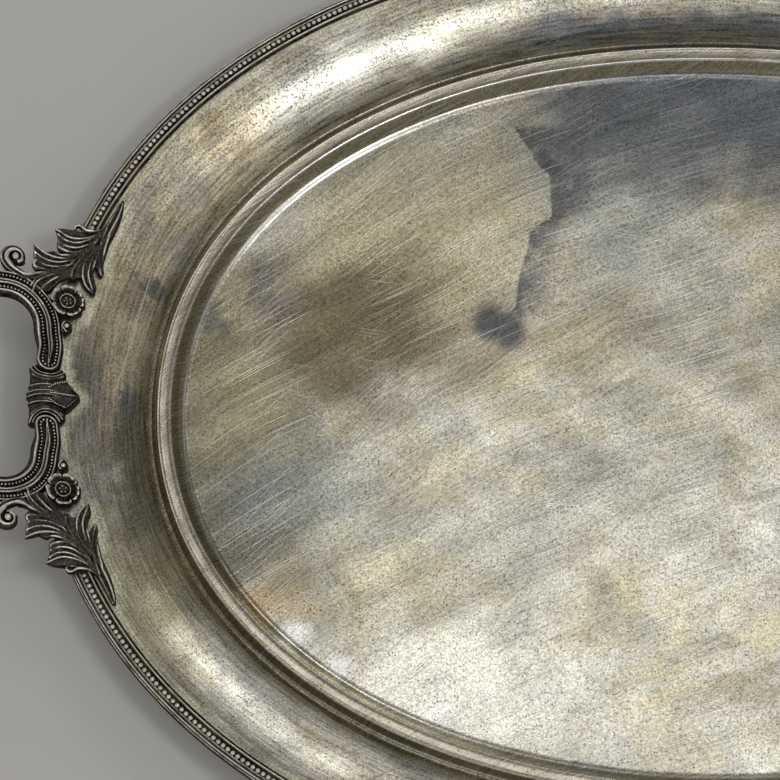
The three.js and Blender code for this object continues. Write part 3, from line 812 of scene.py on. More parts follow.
def build_collar(name, side_x):
    """The barrel over the rim. It spreads onto the flange, its mouldings arch round the ends of the arms,
    which lie over it, and ridges cross its middle."""
    y = np.linspace(-COLLAR_HALF_LENGTH, COLLAR_HALF_LENGTH, 281)
    turn = np.linspace(-180, 180, 240, endpoint=False)
    y, turn = np.meshgrid(y, turn, indexing="ij")
    away, angle = np.abs(y), np.radians(turn + 90)
    barrel = 5.6 + 0.8 * np.exp(-((away / 3.0) ** 2))
    reach = np.interp(away, *COLLAR_FLARE.T) / math.cos(math.radians(20))
    flare = ramp(turn, 35, 110) * (1 - ramp(turn, 116, 150))
    radius = barrel + (reach - barrel) * flare
    across_arm = COLLAR_X + radius * np.cos(angle) - ARM_X
    inside = ARM_END_Y - np.hypot(across_arm, np.maximum(ARM_END_Y - away, 0))
    relief = moulded(inside, COLLAR_MOULDINGS) + moulded(away, COLLAR_RIDGES)
    radius = radius + relief * ramp(np.abs(turn), 150, 120) - 2.2 * ramp(inside, 8.3, 8.9)
    radius = radius * (1 - 0.25 * ramp(away, 12.0, 12.7))
    shells = Shells(side_x, 1)
    shells.add_rings(np.stack([COLLAR_X + radius * np.cos(angle), y, COLLAR_Z + radius * np.sin(angle)], -1))
    return shells.object(name)


# The tongue's plan: distance along X from the collar's axis, half-width, height of its midrib's foot.
TONGUE_PLAN = smooth(
    [(1.6, 2.5, 28.0), (3.2, 3.4, 28.0), (4.6, 4.4, 27.5), (6.2, 5.2, 26.8), (7.8, 5.7, 26.1),
     (9.3, 6.1, 25.4), (10.7, 4.9, 24.8), (12.0, 3.4, 24.2), (13.3, 1.8, 23.6), (14.6, 0.25, 23.0)],
    7,
)
TONGUE_SEAT = [(1.6, 20.0), (9.4, 17.6), (14.7, 16.2)]
TONGUE_BEAD_PITCH = 0.95
TONGUE_BEAD_RADIUS = 0.42


def tongue_ring(distance, width, crest):
    """One cut across the tongue: midrib, hollow sides, raised edges, and its seat on the flange."""
    u = np.linspace(-1, 1, 61)
    across = np.abs(u) * width
    thin = min(1.0, width / 2.5)
    edge = 0.35 * np.exp(-(((across - width + 0.6) / 0.3) ** 2))
    rib = 0.65 * np.exp(-across / 0.4)
    hollow = 0.45 * np.sin(np.pi * np.clip(across / max(width - 0.8, 0.1), 0, 1)) ** 1.2
    fall = 1.5 * np.clip((np.abs(u) - 0.92) / 0.08, 0, 1) ** 2
    top = crest + (rib + edge - hollow) * thin - 0.5 * np.abs(u) ** 2 * thin - fall
    x = np.full(len(u), COLLAR_X - distance)
    low = np.interp(distance, *zip(*TONGUE_SEAT))
    upper = np.column_stack([x, u * width, top])
    lower = np.column_stack([x, u[::-1] * width, np.full(len(u), low)])
    return np.vstack([upper, lower])


def build_tongue(name, side_x):
    """The pointed leaf that grows out of the collar onto the flange, with beads along its edges."""
    shells = Shells(side_x, 1)
    shells.add_rings([tongue_ring(*cut) for cut in TONGUE_PLAN])
    distance, width, crest = TONGUE_PLAN.T
    for side in (-1, 1):
        line = np.column_stack([COLLAR_X - distance, side * np.maximum(width - 0.6, 0), crest])
        length = lengths_along(line[:, :2])
        for at in np.arange(1.2, length[-1] - 0.6, TONGUE_BEAD_PITCH):
            x, y, height = (np.interp(at, length, line[:, k]) for k in range(3))
            add_ball(shells, (x, y, height - 0.12), TONGUE_BEAD_RADIUS)
    return shells.object(name)


def grip_path():
    """The bow from the back arm round to the front arm."""
    corner = np.array([GRIP_X - GRIP_BEND, ARM_SIDE_Y - GRIP_BEND])
    angle = np.linspace(np.pi / 2, 0, 50)
    bend = corner + GRIP_BEND * np.stack([np.cos(angle), np.sin(angle)], -1)
    lead = np.array([(ARM_HIGH[0] - 0.6, ARM_SIDE_Y), (ARM_HIGH[0] + 0.6, ARM_SIDE_Y)])
    straight = np.stack([np.full(60, GRIP_X), np.linspace(corner[1], 0, 61)[1:]], -1)
    half = np.vstack([lead, bend, straight])
    return np.vstack([half, (half[:-1] * (1, -1))[::-1]])


# Turned rings of the grip: distance from its end or its middle, half-width, added share of thickness.
GRIP_CUFF = [(1.0, 0.9, 0.26), (2.9, 0.7, 0.14), (4.4, 0.6, 0.08)]
GRIP_KNOP = [(0.0, 1.1, 0.14), (3.0, 0.8, 0.10), (5.2, 0.6, 0.06)]


def grip_swelling(from_end, from_middle):
    """Thickness of the grip along its length, as a share: cuffs at the ends, a swelling and a knop."""
    share = 0.94 + 0.16 * np.exp(-((from_middle / 17.0) ** 2))
    return share + moulded(from_end, GRIP_CUFF) + moulded(from_middle, GRIP_KNOP)


def build_grip(name, side_x):
    """The reeded bow, oval in section, with turned cuffs and a knop at its middle."""
    path = smooth(grip_path()[::2], 5)
    right = directions(path)[1]
    length = lengths_along(path)
    from_end = np.minimum(length, length[-1] - length)
    from_middle = np.abs(length - length[-1] / 2)
    angle = np.linspace(0, 2 * np.pi, 96, endpoint=False)
    reeded = np.clip((from_middle - 6.5) / 2.5, 0, 1) * np.clip((from_end - 6.0) / 2.5, 0, 1)
    reed = 1 + 0.05 * (np.abs(np.cos(6 * angle))[None] - 0.6) * reeded[:, None]
    swell = grip_swelling(from_end, from_middle)[:, None] * reed
    across = 4.3 * swell * np.cos(angle)
    x = path[:, 0, None] + right[:, 0, None] * across
    y = path[:, 1, None] + right[:, 1, None] * across
    lean = 0.3 * (x - path[:, 0, None])
    z = handle_top(path[:, 0])[:, None] - 4.1 + 3.7 * swell * np.sin(angle) + lean
    shells = Shells(side_x, 1)
    shells.add_rings(np.stack([x, y, z], -1))
    return shells.object(name)


# ---------------------------------------------------------------- materials


class Graph:
    """A node tree, built out of small steps."""

    def __init__(self, tree):
        self.tree = tree

    def feed(self, socket, value):
        """Links a socket to another node's output, or sets its value."""
        if isinstance(value, bpy.types.NodeSocket):
            self.tree.links.new(value, socket)
        else:
            socket.default_value = value

    def node(self, kind, inputs=(), **settings):
        node = self.tree.nodes.new(kind)
        for key, value in settings.items():
            setattr(node, key, value)
        for key, value in dict(inputs).items():
            self.feed(node.inputs[key], value)
        return node

    def math(self, operation, a, b=0.0, c=0.0):
        return self.node("ShaderNodeMath", {0: a, 1: b, 2: c}, operation=operation).outputs[0]

    def vector(self, operation, a, b=(0, 0, 0)):
        node = self.node("ShaderNodeVectorMath", {0: a, 1: b}, operation=operation)
        return node.outputs["Value" if operation in ("LENGTH", "DOT_PRODUCT") else "Vector"]

    def scaled(self, vector, factor):
        node = self.node("ShaderNodeVectorMath", {0: vector, "Scale": factor}, operation="SCALE")
        return node.outputs["Vector"]

    def fade(self, value, low, high, at_low=0.0, at_high=1.0):
        """A smooth step of a value, from at_low at low to at_high at high."""
        inputs = {"Value": value, "From Min": low, "From Max": high, "To Min": at_low, "To Max": at_high}
        return self.node("ShaderNodeMapRange", inputs, interpolation_type="SMOOTHSTEP").outputs["Result"]

    def mix(self, share, a, b, blend="MIX"):
        colors = [c if isinstance(c, bpy.types.NodeSocket) else (*c, 1.0) for c in (a, b)]
        inputs = {0: share, 6: colors[0], 7: colors[1]}
        node = self.node("ShaderNodeMix", inputs, data_type="RGBA", blend_type=blend, clamp_factor=True)
        return node.outputs[2]

    def noise(self, vector, scale=1.0, detail=3.0, roughness=0.55, distortion=0.0):
        inputs = {"Vector": vector, "Scale": scale, "Detail": detail, "Roughness": roughness}
        inputs["Distortion"] = distortion
        return self.node("ShaderNodeTexNoise", inputs).outputs["Fac"]

    def noise_color(self, vector, scale, detail=2.0):
        inputs = {"Vector": vector, "Scale": scale, "Detail": detail}
        return self.node("ShaderNodeTexNoise", inputs).outputs["Color"]

    def attribute(self, name, output):
        node = self.node("ShaderNodeAttribute", attribute_name=name, attribute_type="GEOMETRY")
        return node.outputs[output]

    def millimetres(self):
        """The place on the object, in millimetres."""
        place = self.node("ShaderNodeTexCoord").outputs["Object"]
        return self.scaled(place, 1 / MM)

    def bump(self, height, distance_mm, strength=1.0, normal=None):
        inputs = {"Height": height, "Distance": distance_mm * MM, "Strength": strength}
        if normal is not None:
            inputs["Normal"] = normal
        return self.node("ShaderNodeBump", inputs).outputs["Normal"]


class Metal(Graph):
    """A material and its shader."""

    def __init__(self, name, metallic=1.0):
        self.material = bpy.data.materials.new(name)
        self.material.use_nodes = True
        super().__init__(self.material.node_tree)
        self.surface = self.tree.nodes["Principled BSDF"]
        self.surface.inputs["Metallic"].default_value = metallic

    def finish(self, color, roughness, normal):
        self.feed(self.surface.inputs["Base Color"], color)
        self.feed(self.surface.inputs["Roughness"], roughness)
        self.feed(self.surface.inputs["Normal"], normal)
        return self.material


# Tones of silver plate, from clean to heavily tarnished. Some of them are also used for painted highlights,
# painted glow and painted shade.
CLEAN_AND_HIGHLIGHT = (0.80, 0.79, 0.70)
SCRATCH_AND_HIGHLIGHT = (0.98, 0.97, 0.93)
PEWTER = (0.62, 0.605, 0.52)
CHAMPAGNE = (0.66, 0.585, 0.39)
OLIVE = (0.40, 0.37, 0.235)
BROWN = (0.27, 0.215, 0.13)
BLUE_GREY = (0.36, 0.39, 0.375)
PAINTED_SHADE_GREY = (0.19, 0.18, 0.14)
UMBER = (0.17, 0.135, 0.10)
FLANGE_GREY = (0.64, 0.61, 0.52)
WALL = (0.40, 0.37, 0.25)
CROWN = (0.62, 0.57, 0.47)
NAVY = (0.13, 0.148, 0.185)
SPECK = (0.085, 0.065, 0.05)
CRUST = (0.72, 0.70, 0.54)
SHADOW_BROWN = (0.20, 0.16, 0.10)
SMUDGE = (0.15, 0.155, 0.16)
RUST = (0.62, 0.45, 0.24)
SPILL = (0.125, 0.13, 0.15)
FLANGE_OLIVE = (0.45, 0.415, 0.31)
GLOW_TAN = (0.74, 0.64, 0.44)
SLATE = (0.27, 0.285, 0.27)
FLANGE_PAINTED_SHADE = (0.15, 0.14, 0.085)
FLANGE_CREASE_SHADE = (0.18, 0.16, 0.10)
FRECKLE = (0.19, 0.145, 0.10)
DULL_SCRATCH = (0.16, 0.15, 0.12)

# The patches of this tray, laid one over another. Each has the place it is drawn on, which makes its edges
# ragged or smooth, its tone, the share of it, and its ovals with their centre, radii and softness.
FLOOR_PATCHES = [
    ("loose", CHAMPAGNE, 0.8, [((-128, 70), (60, 54), 0.6)]),
    # Painted shade: a broad dark patch over the left of the floor.
    ("loose", PAINTED_SHADE_GREY, 0.95, [((-200, -24), (42, 86), 0.6)]),
    ("loose", NAVY, 0.87, [((0, 142), (74, 38), 0.4)]),
    ("loose", SHADOW_BROWN, 0.95, [((-146, 42), (46, 30), 0.7)]),
    ("loose", BROWN, 0.25, [((-30, 37), (44, 14), 0.7)]),
    ("loose", OLIVE, 0.75, [((-196, 6), (22, 36), 0.6)]),
    ("loose", CHAMPAGNE, 0.6, [((-201, 56), (10, 16), 0.6)]),
    ("loose", SMUDGE, 0.6, [
        ((-186, 61), (13, 11), 0.95),
        ((-190, -28), (17, 13), 0.7),
        ((-205, 37), (5, 6), 0.7),
    ]),
    ("loose", BLUE_GREY, 0.45, [((-158, -34), (36, 22), 0.7)]),
    # A painted highlight: a broad pale patch near the front edge that stands in for a soft reflection.
    ("loose", CLEAN_AND_HIGHLIGHT, 0.9, [((-105, -116), (52, 22), 0.6)]),
    # Painted glints: three small white spots near the floor's front edge that stand in for highlights.
    ("smooth", SCRATCH_AND_HIGHLIGHT, 0.9, [((-171, -92), (5, 4), 0.9)]),
    ("smooth", SCRATCH_AND_HIGHLIGHT, 0.9, [((-154, -107), (5, 4), 0.9)]),
    ("smooth", SCRATCH_AND_HIGHLIGHT, 0.9, [((-114, -125), (5, 4), 0.9)]),
    ("loose", RUST, 0.6, [((-187, -78), (14, 12), 0.6)]),
]
# A painted glow of light: pale tan patches on the upper left of the flange.
FLANGE_PAINTED_GLOW = [
    ("loose", GLOW_TAN, 0.9, [((-248, 52), (24, 58), 0.5), ((-212, 100), (44, 34), 0.6)]),
]
FLANGE_PATCHES = [
    ("crusty", SLATE, 0.7, [((-259, 6), (9, 26), 0.6)]),
    ("crusty", UMBER, 0.55, [((-238, 46), (6, 10), 0.6)]),
    # Painted shade: dark patches on the left of the flange.
    ("loose", FLANGE_PAINTED_SHADE, 0.8, [((-234, -14), (9, 36), 0.6), ((-222, -58), (18, 32), 0.6)]),
    ("crusty", NAVY, 0.75, [((-231, 53), (7, 4), 0.3), ((-240, 3), (4, 6), 0.3)]),
    ("loose", NAVY, 0.85, [((-8, 167), (70, 9), 0.5)]),
]
FLANGE_FRONT = [
    ("loose", OLIVE, 0.75, [((-236, -84), (24, 30), 0.6)]),
]


def both(g, a, *others):
    """The product of masks, so 1 only where all of them are."""
    for b in others:
        a = g.math("MULTIPLY", a, b)
    return a


def either(g, a, *others):
    """The greatest of masks."""
    for b in others:
        a = g.math("MAXIMUM", a, b)
    return a


def patches(g, places, color, table):
    """Lays a table's tones over a colour, each inside its ovals; places are the kinds of edge."""
    for edge, tone, share, ovals in table:
        inside = either(g, *[spot(g, places[edge], *oval) for oval in ovals])
        color = g.mix(both(g, inside, share), color, tone)
    return color


def spot(g, place, centre, radii, soft=0.55):
    """1 inside an oval on the floor, 0 outside it."""
    away = g.vector("SUBTRACT", place, (*centre, 0.0))
    away = g.vector("MULTIPLY", away, (1 / radii[0], 1 / radii[1], 0.0))
    return g.fade(g.vector("LENGTH", away), 1 + soft, 1 - soft)


def trail(g, place, start, end, width, soft):
    """1 along a line between two points of the floor, 0 further from it than its width."""
    run = np.subtract(end, start)
    away = g.vector("SUBTRACT", place, (*start, 0.0))
    share = g.vector("DOT_PRODUCT", away, (*(run / (run @ run)), 0.0))
    share = g.node("ShaderNodeClamp", {"Value": share}).outputs[0]
    nearest = g.scaled((*run, 0.0), share)
    flat = g.vector("MULTIPLY", g.vector("SUBTRACT", away, nearest), (1.0, 1.0, 0.0))
    return g.fade(g.vector("LENGTH", flat), width + soft, width - soft)


def wandered(g, place, scale, reach, detail=3.0):
    """The place, shifted by up to about half the reach in millimetres: edges drawn on it are ragged."""
    shift = g.vector("SUBTRACT", g.noise_color(place, scale, detail), (0.5, 0.5, 0.5))
    return g.vector("ADD", place, g.scaled(shift, reach))


def swings(g, parts, slope, bow):
    """Coordinates along and across a family of long arcs of this slope, which flatten towards +X."""
    x, y = parts
    along = g.math("MULTIPLY_ADD", g.math("MULTIPLY", x, x), bow, y)
    return x, g.math("MULTIPLY_ADD", x, -slope, along)


def streaks(g, arcs, length, per_mm, detail=3.0, seed=0.0):
    """Noise drawn out along a family of arcs."""
    x, y = arcs
    inputs = {0: g.math("MULTIPLY", x, 1 / length), 1: g.math("MULTIPLY", y, per_mm), 2: seed}
    return g.noise(g.node("ShaderNodeCombineXYZ", inputs).outputs[0], 1.0, detail, 0.65)


def hairlines(g, arcs, length, spacing, low, high, seed=0.0):
    """Single fine scratches scattered along a family of arcs; those whose draw is under low are left out."""
    x, y = arcs
    inputs = {0: g.math("MULTIPLY_ADD", x, 1 / length, seed), 1: g.math("MULTIPLY", y, 1 / spacing)}
    vector = g.node("ShaderNodeCombineXYZ", inputs).outputs[0]
    cells = g.node("ShaderNodeTexVoronoi", {"Vector": vector, "Scale": 1.0}, voronoi_dimensions="2D")
    draw = g.node("ShaderNodeSeparateColor", {0: cells.outputs["Color"]}).outputs[0]
    return both(g, g.fade(cells.outputs["Distance"], 0.25, 0.07), g.fade(draw, low, high))


def clouds(g, place, size, low, high, stir=0.0, detail=6.0):
    """Irregular patches about this many millimetres across; stir draws their edges out along the wipes."""
    return g.fade(g.math("ADD", g.noise(place, 1 / size, detail, 0.58, 0.4), stir), low, high)


def band(g, value, middle, half):
    """1 where a value is at middle, 0 where it is further away than half."""
    return g.fade(g.math("ABSOLUTE", g.math("SUBTRACT", value, middle)), half, 0.4 * half)


def floor_tarnish(g, place, stir):
    """Broad tarnish of the sheet: pewter and champagne clouds with thin olive, brown and blue-grey ones."""
    color = g.mix(clouds(g, place, 85, 0.46, 0.64, stir), PEWTER, CLEAN_AND_HIGHLIGHT)
    shifted = g.vector("ADD", place, (-60.0, -410.0, 0.0))
    color = g.mix(both(g, clouds(g, shifted, 60, 0.46, 0.62, stir), 0.65), color, CHAMPAGNE)
    color = g.mix(both(g, clouds(g, place, 34, 0.48, 0.62, stir), 0.36), color, OLIVE)
    shifted = g.vector("ADD", place, (310.0, 120.0, 0.0))
    color = g.mix(both(g, clouds(g, shifted, 42, 0.48, 0.62, stir), 0.42), color, BLUE_GREY)
    shifted = g.vector("ADD", place, (-170.0, 230.0, 0.0))
    return g.mix(both(g, clouds(g, shifted, 26, 0.53, 0.66, stir), 0.34), color, BROWN)


def floor_patches(g, place, stir, color):
    """The floor's own patches: a dark bank at the back, painted shade on the left, smudges, pale patches, a
    painted highlight with painted glints near the front edge, rust, and the spill.
    """
    drawn_out = g.vector("ADD", place, g.scaled((30.0, 60.0, 0.0), stir))
    loose = wandered(g, drawn_out, 0.03, 60.0, 4.0)
    color = patches(g, {"loose": loose, "smooth": place}, color, FLOOR_PATCHES)
    return spilt_stain(g, place, loose, color)


# The sharp edge of the spill: Y, and the edge's X there.
SPILL_EDGE = [
    (38, -90), (43, -86), (49, -81.6), (65, -79), (81, -74.6), (88, -66), (105, -66.6), (114, -73),
    (129, -82),
]

# The pool at its lower end, as two ovals.
SPILL_POOL = [((-92, 40), (6.8, 8.4), 0.5), ((-84.5, 37.5), (6.2, 9.0), 0.5)]


def spill_edge(g, y):
    """X of the spill's edge at each Y. A ramp holds it as a share, from 0 at -100 mm to 1 at 0 mm."""
    low, high = SPILL_EDGE[0][0], SPILL_EDGE[-1][0]
    run = 1 / (high - low)
    curve = g.node("ShaderNodeValToRGB", {0: g.math("MULTIPLY_ADD", y, run, -low * run)})
    stops = curve.color_ramp.elements
    for at, _ in SPILL_EDGE[1:-1]:
        stops.new((at - low) * run)
    for stop, (_, x) in zip(stops, SPILL_EDGE):
        share = x / 100 + 1
        stop.color = (share, share, share, 1)
    return g.math("MULTIPLY_ADD", curve.outputs[0], 100.0, -100.0)


def spilt_stain(g, place, loose, color):
    """A bluish spill: dark along one sharp edge, fading away from it, with a pool at its lower end."""
    crisp = wandered(g, place, 0.07, 5.0, 4.0)
    split = g.node("ShaderNodeSeparateXYZ", {0: crisp})
    x, y = split.outputs[0], split.outputs[1]
    away = g.math("SUBTRACT", x, spill_edge(g, y))
    reach = g.fade(y, 84.0, 108.0, 19.0, 50.0)
    ends = both(g, g.fade(y, 40.0, 46.0), g.fade(y, 131.0, 126.0))
    patchy = g.fade(g.noise(place, 0.10, 4.0), 0.32, 0.54, 0.5, 1.0)
    run = both(g, g.fade(away, -0.5, 0.7), g.fade(away, reach, 0.0), ends, patchy)
    color = g.mix(both(g, spot(g, loose, (-36, 100), (30, 34), 0.4), 0.45), color, BLUE_GREY)
    pool = either(g, *[spot(g, crisp, *oval) for oval in SPILL_POOL])
    return g.mix(either(g, both(g, run, 0.9), both(g, pool, 0.92)), color, SPILL)


def flange_tarnish(g, place, ring, across, color):
    """The flange's tarnish, drawn out along its sweep, with a painted glow on its upper left, painted shade
    on its left and painted shade in a band beside the crease.
    """
    swept = g.noise(g.vector("MULTIPLY", ring, (5.0, 5.0, 0.10)), 1.0, 6.0, 0.62, 0.5)
    stir = g.noise(g.vector("MULTIPLY", ring, (16.0, 16.0, 0.9)), 1.0, 3.0)
    stir = g.math("MULTIPLY_ADD", stir, 0.24, -0.12)
    places = {"loose": wandered(g, place, 0.05, 26.0), "crusty": wandered(g, place, 0.16, 14.0, 5.0)}
    tone = g.mix(g.fade(swept, 0.38, 0.56), FLANGE_OLIVE, FLANGE_GREY)
    tone = patches(g, places, tone, FLANGE_PAINTED_GLOW)
    tone = g.mix(both(g, clouds(g, place, 24, 0.52, 0.62, stir), 0.5), tone, BROWN)
    shifted = g.vector("ADD", place, (77.0, -140.0, 0.0))
    tone = g.mix(both(g, clouds(g, shifted, 34, 0.51, 0.62, stir), 0.5), tone, BLUE_GREY)
    tone = patches(g, places, tone, FLANGE_PATCHES)
    # Painted shade: the flange is darkened in a band beside the crease.
    inner = both(g, g.fade(across, 13.0, 5.0), g.fade(g.noise(place, 0.03, 3.0), 0.38, 0.58, 0.5, 0.9))
    tone = g.mix(inner, tone, FLANGE_CREASE_SHADE)
    tone = patches(g, places, tone, FLANGE_FRONT)
    return g.mix(g.fade(across, 2.0, 5.0), color, tone)


def specks(g, place, size, low, high):
    """Scattered pinpricks of corrosion, about size millimetres apart."""
    cells = g.node("ShaderNodeTexVoronoi", {"Vector": place, "Scale": 1 / size, "Randomness": 1.0})
    wanted = g.fade(g.node("ShaderNodeSeparateColor", {0: cells.outputs["Color"]}).outputs[0], low, high)
    return both(g, g.fade(cells.outputs["Distance"], 0.34, 0.12), wanted)


def step_dirt(g, place, ring, across, color):
    """The ledge's crown is brushed pale; its walls are olive, with some dirt at their feet."""
    on_step = both(g, g.fade(across, -9.8, -7.6), g.fade(across, 4.4, 1.0))
    color = g.mix(both(g, on_step, 0.85), color, WALL)
    brushed = g.noise(g.vector("MULTIPLY", ring, (20.0, 20.0, 1.1)), 1.0, 1.5, 0.6)
    crown = both(g, g.fade(across, -5.3, -4.6), g.fade(across, 0.5, -0.5))
    color = g.mix(both(g, crown, g.fade(brushed, 0.34, 0.60, 0.25, 0.95)), color, CROWN)
    foot = both(g, g.fade(across, -10.4, -9.0), g.fade(across, -6.6, -8.4))
    color = g.mix(both(g, foot, g.fade(g.noise(place, 0.12), 0.35, 0.6, 0.1, 0.5)), color, BROWN)
    crease = both(g, g.fade(across, 1.8, 3.2), g.fade(across, 5.2, 4.0))
    return g.mix(both(g, crease, g.fade(g.noise(place, 0.2), 0.35, 0.6, 0.1, 0.5)), color, BROWN)


def painted_edge_highlights(g, place, across):
    """Painted highlights: thin pale lines along the crown's edges and the foot of its wall, and a painted
    glow beside the foot at the back left.
    """
    y = g.node("ShaderNodeSeparateXYZ", {0: place}).outputs[1]
    outer = both(g, band(g, across, -0.15, 0.4), g.fade(y, -90.0, -20.0, 0.12, 1.0))
    inner = both(g, band(g, across, -5.1, 0.7), g.fade(y, 62.0, 98.0, 0.12, 1.0))
    foot = both(g, band(g, across, -10.3, 0.55), g.fade(y, -80.0, 20.0, 0.15, 0.9))
    glow = both(g, band(g, across, -11.0, 1.9), spot(g, place, (-165, 108), (42, 40), 0.5))
    edges = either(g, outer, inner, foot, glow)
    return both(g, edges, g.fade(g.noise(place, 0.06, 3.0), 0.34, 0.50, 0.4, 1.0))


class Wipes:
    """The directions in which the tray has been wiped, as families of arcs."""

    def __init__(self, g, place):
        split = g.node("ShaderNodeSeparateXYZ", {0: wandered(g, place, 0.01, 14.0, 1.0)})
        parts = split.outputs[0], split.outputs[1]
        self.main = swings(g, parts, 0.29, 0.00093)
        self.steep = swings(g, parts, 0.60, 0.0012)
        self.flat = swings(g, parts, -0.12, 0.0)
        self.crossing = swings(g, parts, -0.85, 0.0)


def wipe_marks(g, place, ring, wipes, on_flange):
    """Fine streaks about 0: long arcs over the floor, and streaks along the sweep of the flange."""
    steeper = g.fade(g.noise(place, 0.018, 2.0), 0.46, 0.56)
    steep = both(g, g.math("SUBTRACT", streaks(g, wipes.steep, 90.0, 1.2, 0.4, 9.0), 0.5), steeper)
    main = g.math("SUBTRACT", streaks(g, wipes.main, 120.0, 1.2, 0.4), 0.5)
    marks = g.math("MULTIPLY_ADD", main, g.math("SUBTRACT", 1.0, steeper), steep)
    sweeps = g.noise(g.vector("MULTIPLY", ring, (11.0, 11.0, 1.15)), 1.0, 0.8, 0.6)
    sweeps = both(g, on_flange, g.math("SUBTRACT", sweeps, 0.5))
    return g.math("MULTIPLY_ADD", g.math("SUBTRACT", 1.0, on_flange), marks, sweeps)


def scratches(g, place, wipes):
    """Pale and dark scratches: long ones in bundles along the wipes, short ones across them."""
    where = g.noise(place, 0.02, 2.0)
    bundles = g.fade(streaks(g, wipes.main, 120.0, 0.10, 2.0, 5.0), 0.42, 0.58, 0.3, 1.0)
    pale = [
        both(g, hairlines(g, wipes.main, 58.0, 1.2, 0.30, 1.0), bundles, 0.8),
        both(g, hairlines(g, wipes.main, 90.0, 1.3, 0.45, 1.0, 40.0), 0.55),
        both(g, hairlines(g, wipes.steep, 44.0, 1.25, 0.50, 1.0, 3.0), g.fade(where, 0.36, 0.54, 0.15, 0.7)),
        both(g, hairlines(g, wipes.flat, 34.0, 1.25, 0.60, 1.0, 7.0), g.fade(where, 0.56, 0.42, 0.0, 0.45)),
        both(g, hairlines(g, wipes.crossing, 16.0, 1.3, 0.90, 1.0, 11.0), 0.35),
    ]
    dark = [
        hairlines(g, wipes.main, 66.0, 1.25, 0.35, 1.0, 19.0),
        hairlines(g, wipes.steep, 40.0, 1.3, 0.5, 1.0, 23.0),
    ]
    return either(g, *pale), either(g, *dark)


def corrosion(g, place, across):
    """Masks of the corrosion: freckles, dense towards the border; all the pricks; and those that show."""
    region = either(
        g,
        g.fade(g.noise(place, 0.022, 3.0), 0.46, 0.56),
        spot(g, place, (-10, 180), (75, 18), 0.4),
        spot(g, place, (-226, 74), (26, 62), 0.5),
    )
    density = both(g, g.fade(across, 4.0, 26.0), region)
    freckles = both(g, g.fade(g.noise(place, 0.95, 2.5, 0.85), 0.54, 0.60), density)
    pricks = specks(g, place, 1.3, 0.45, 0.75)
    patchy = either(g, g.fade(g.noise(place, 0.035, 4.0, 0.6), 0.42, 0.56, 0.1, 1.0), density)
    return freckles, pricks, both(g, pricks, patchy)


def pale_crust(g, place, halo):
    """A ragged crust that follows the castings and the border's seam."""
    ragged = g.math("ADD", halo, g.math("MULTIPLY_ADD", g.noise(place, 0.22, 5.0, 0.7), 5.0, -2.5))
    return both(g, g.fade(ragged, 5.2, 1.6), g.fade(g.noise(place, 0.07, 3.0), 0.35, 0.60, 0.35, 1.0))


def brightness(g, across, on_flange, mottle, marks):
    """How bright the metal is about 1, from point to point and from wipe to wipe."""
    near_crease = both(g, g.fade(across, 3.0, 5.0), g.fade(across, 18.0, 6.0))
    depth = g.math("MULTIPLY_ADD", on_flange, 0.5, g.math("MULTIPLY_ADD", near_crease, 0.5, 0.85))
    crown = both(g, g.fade(across, -5.6, -4.6), g.fade(across, 3.0, 0.6))
    grain = g.math("MULTIPLY_ADD", crown, -1.1, 1.7)
    value = g.math("MULTIPLY_ADD", mottle, grain, g.math("MULTIPLY_ADD", marks, depth, 1.0))
    return g.node("ShaderNodeCombineXYZ", {0: value, 1: value, 2: value}).outputs[0]


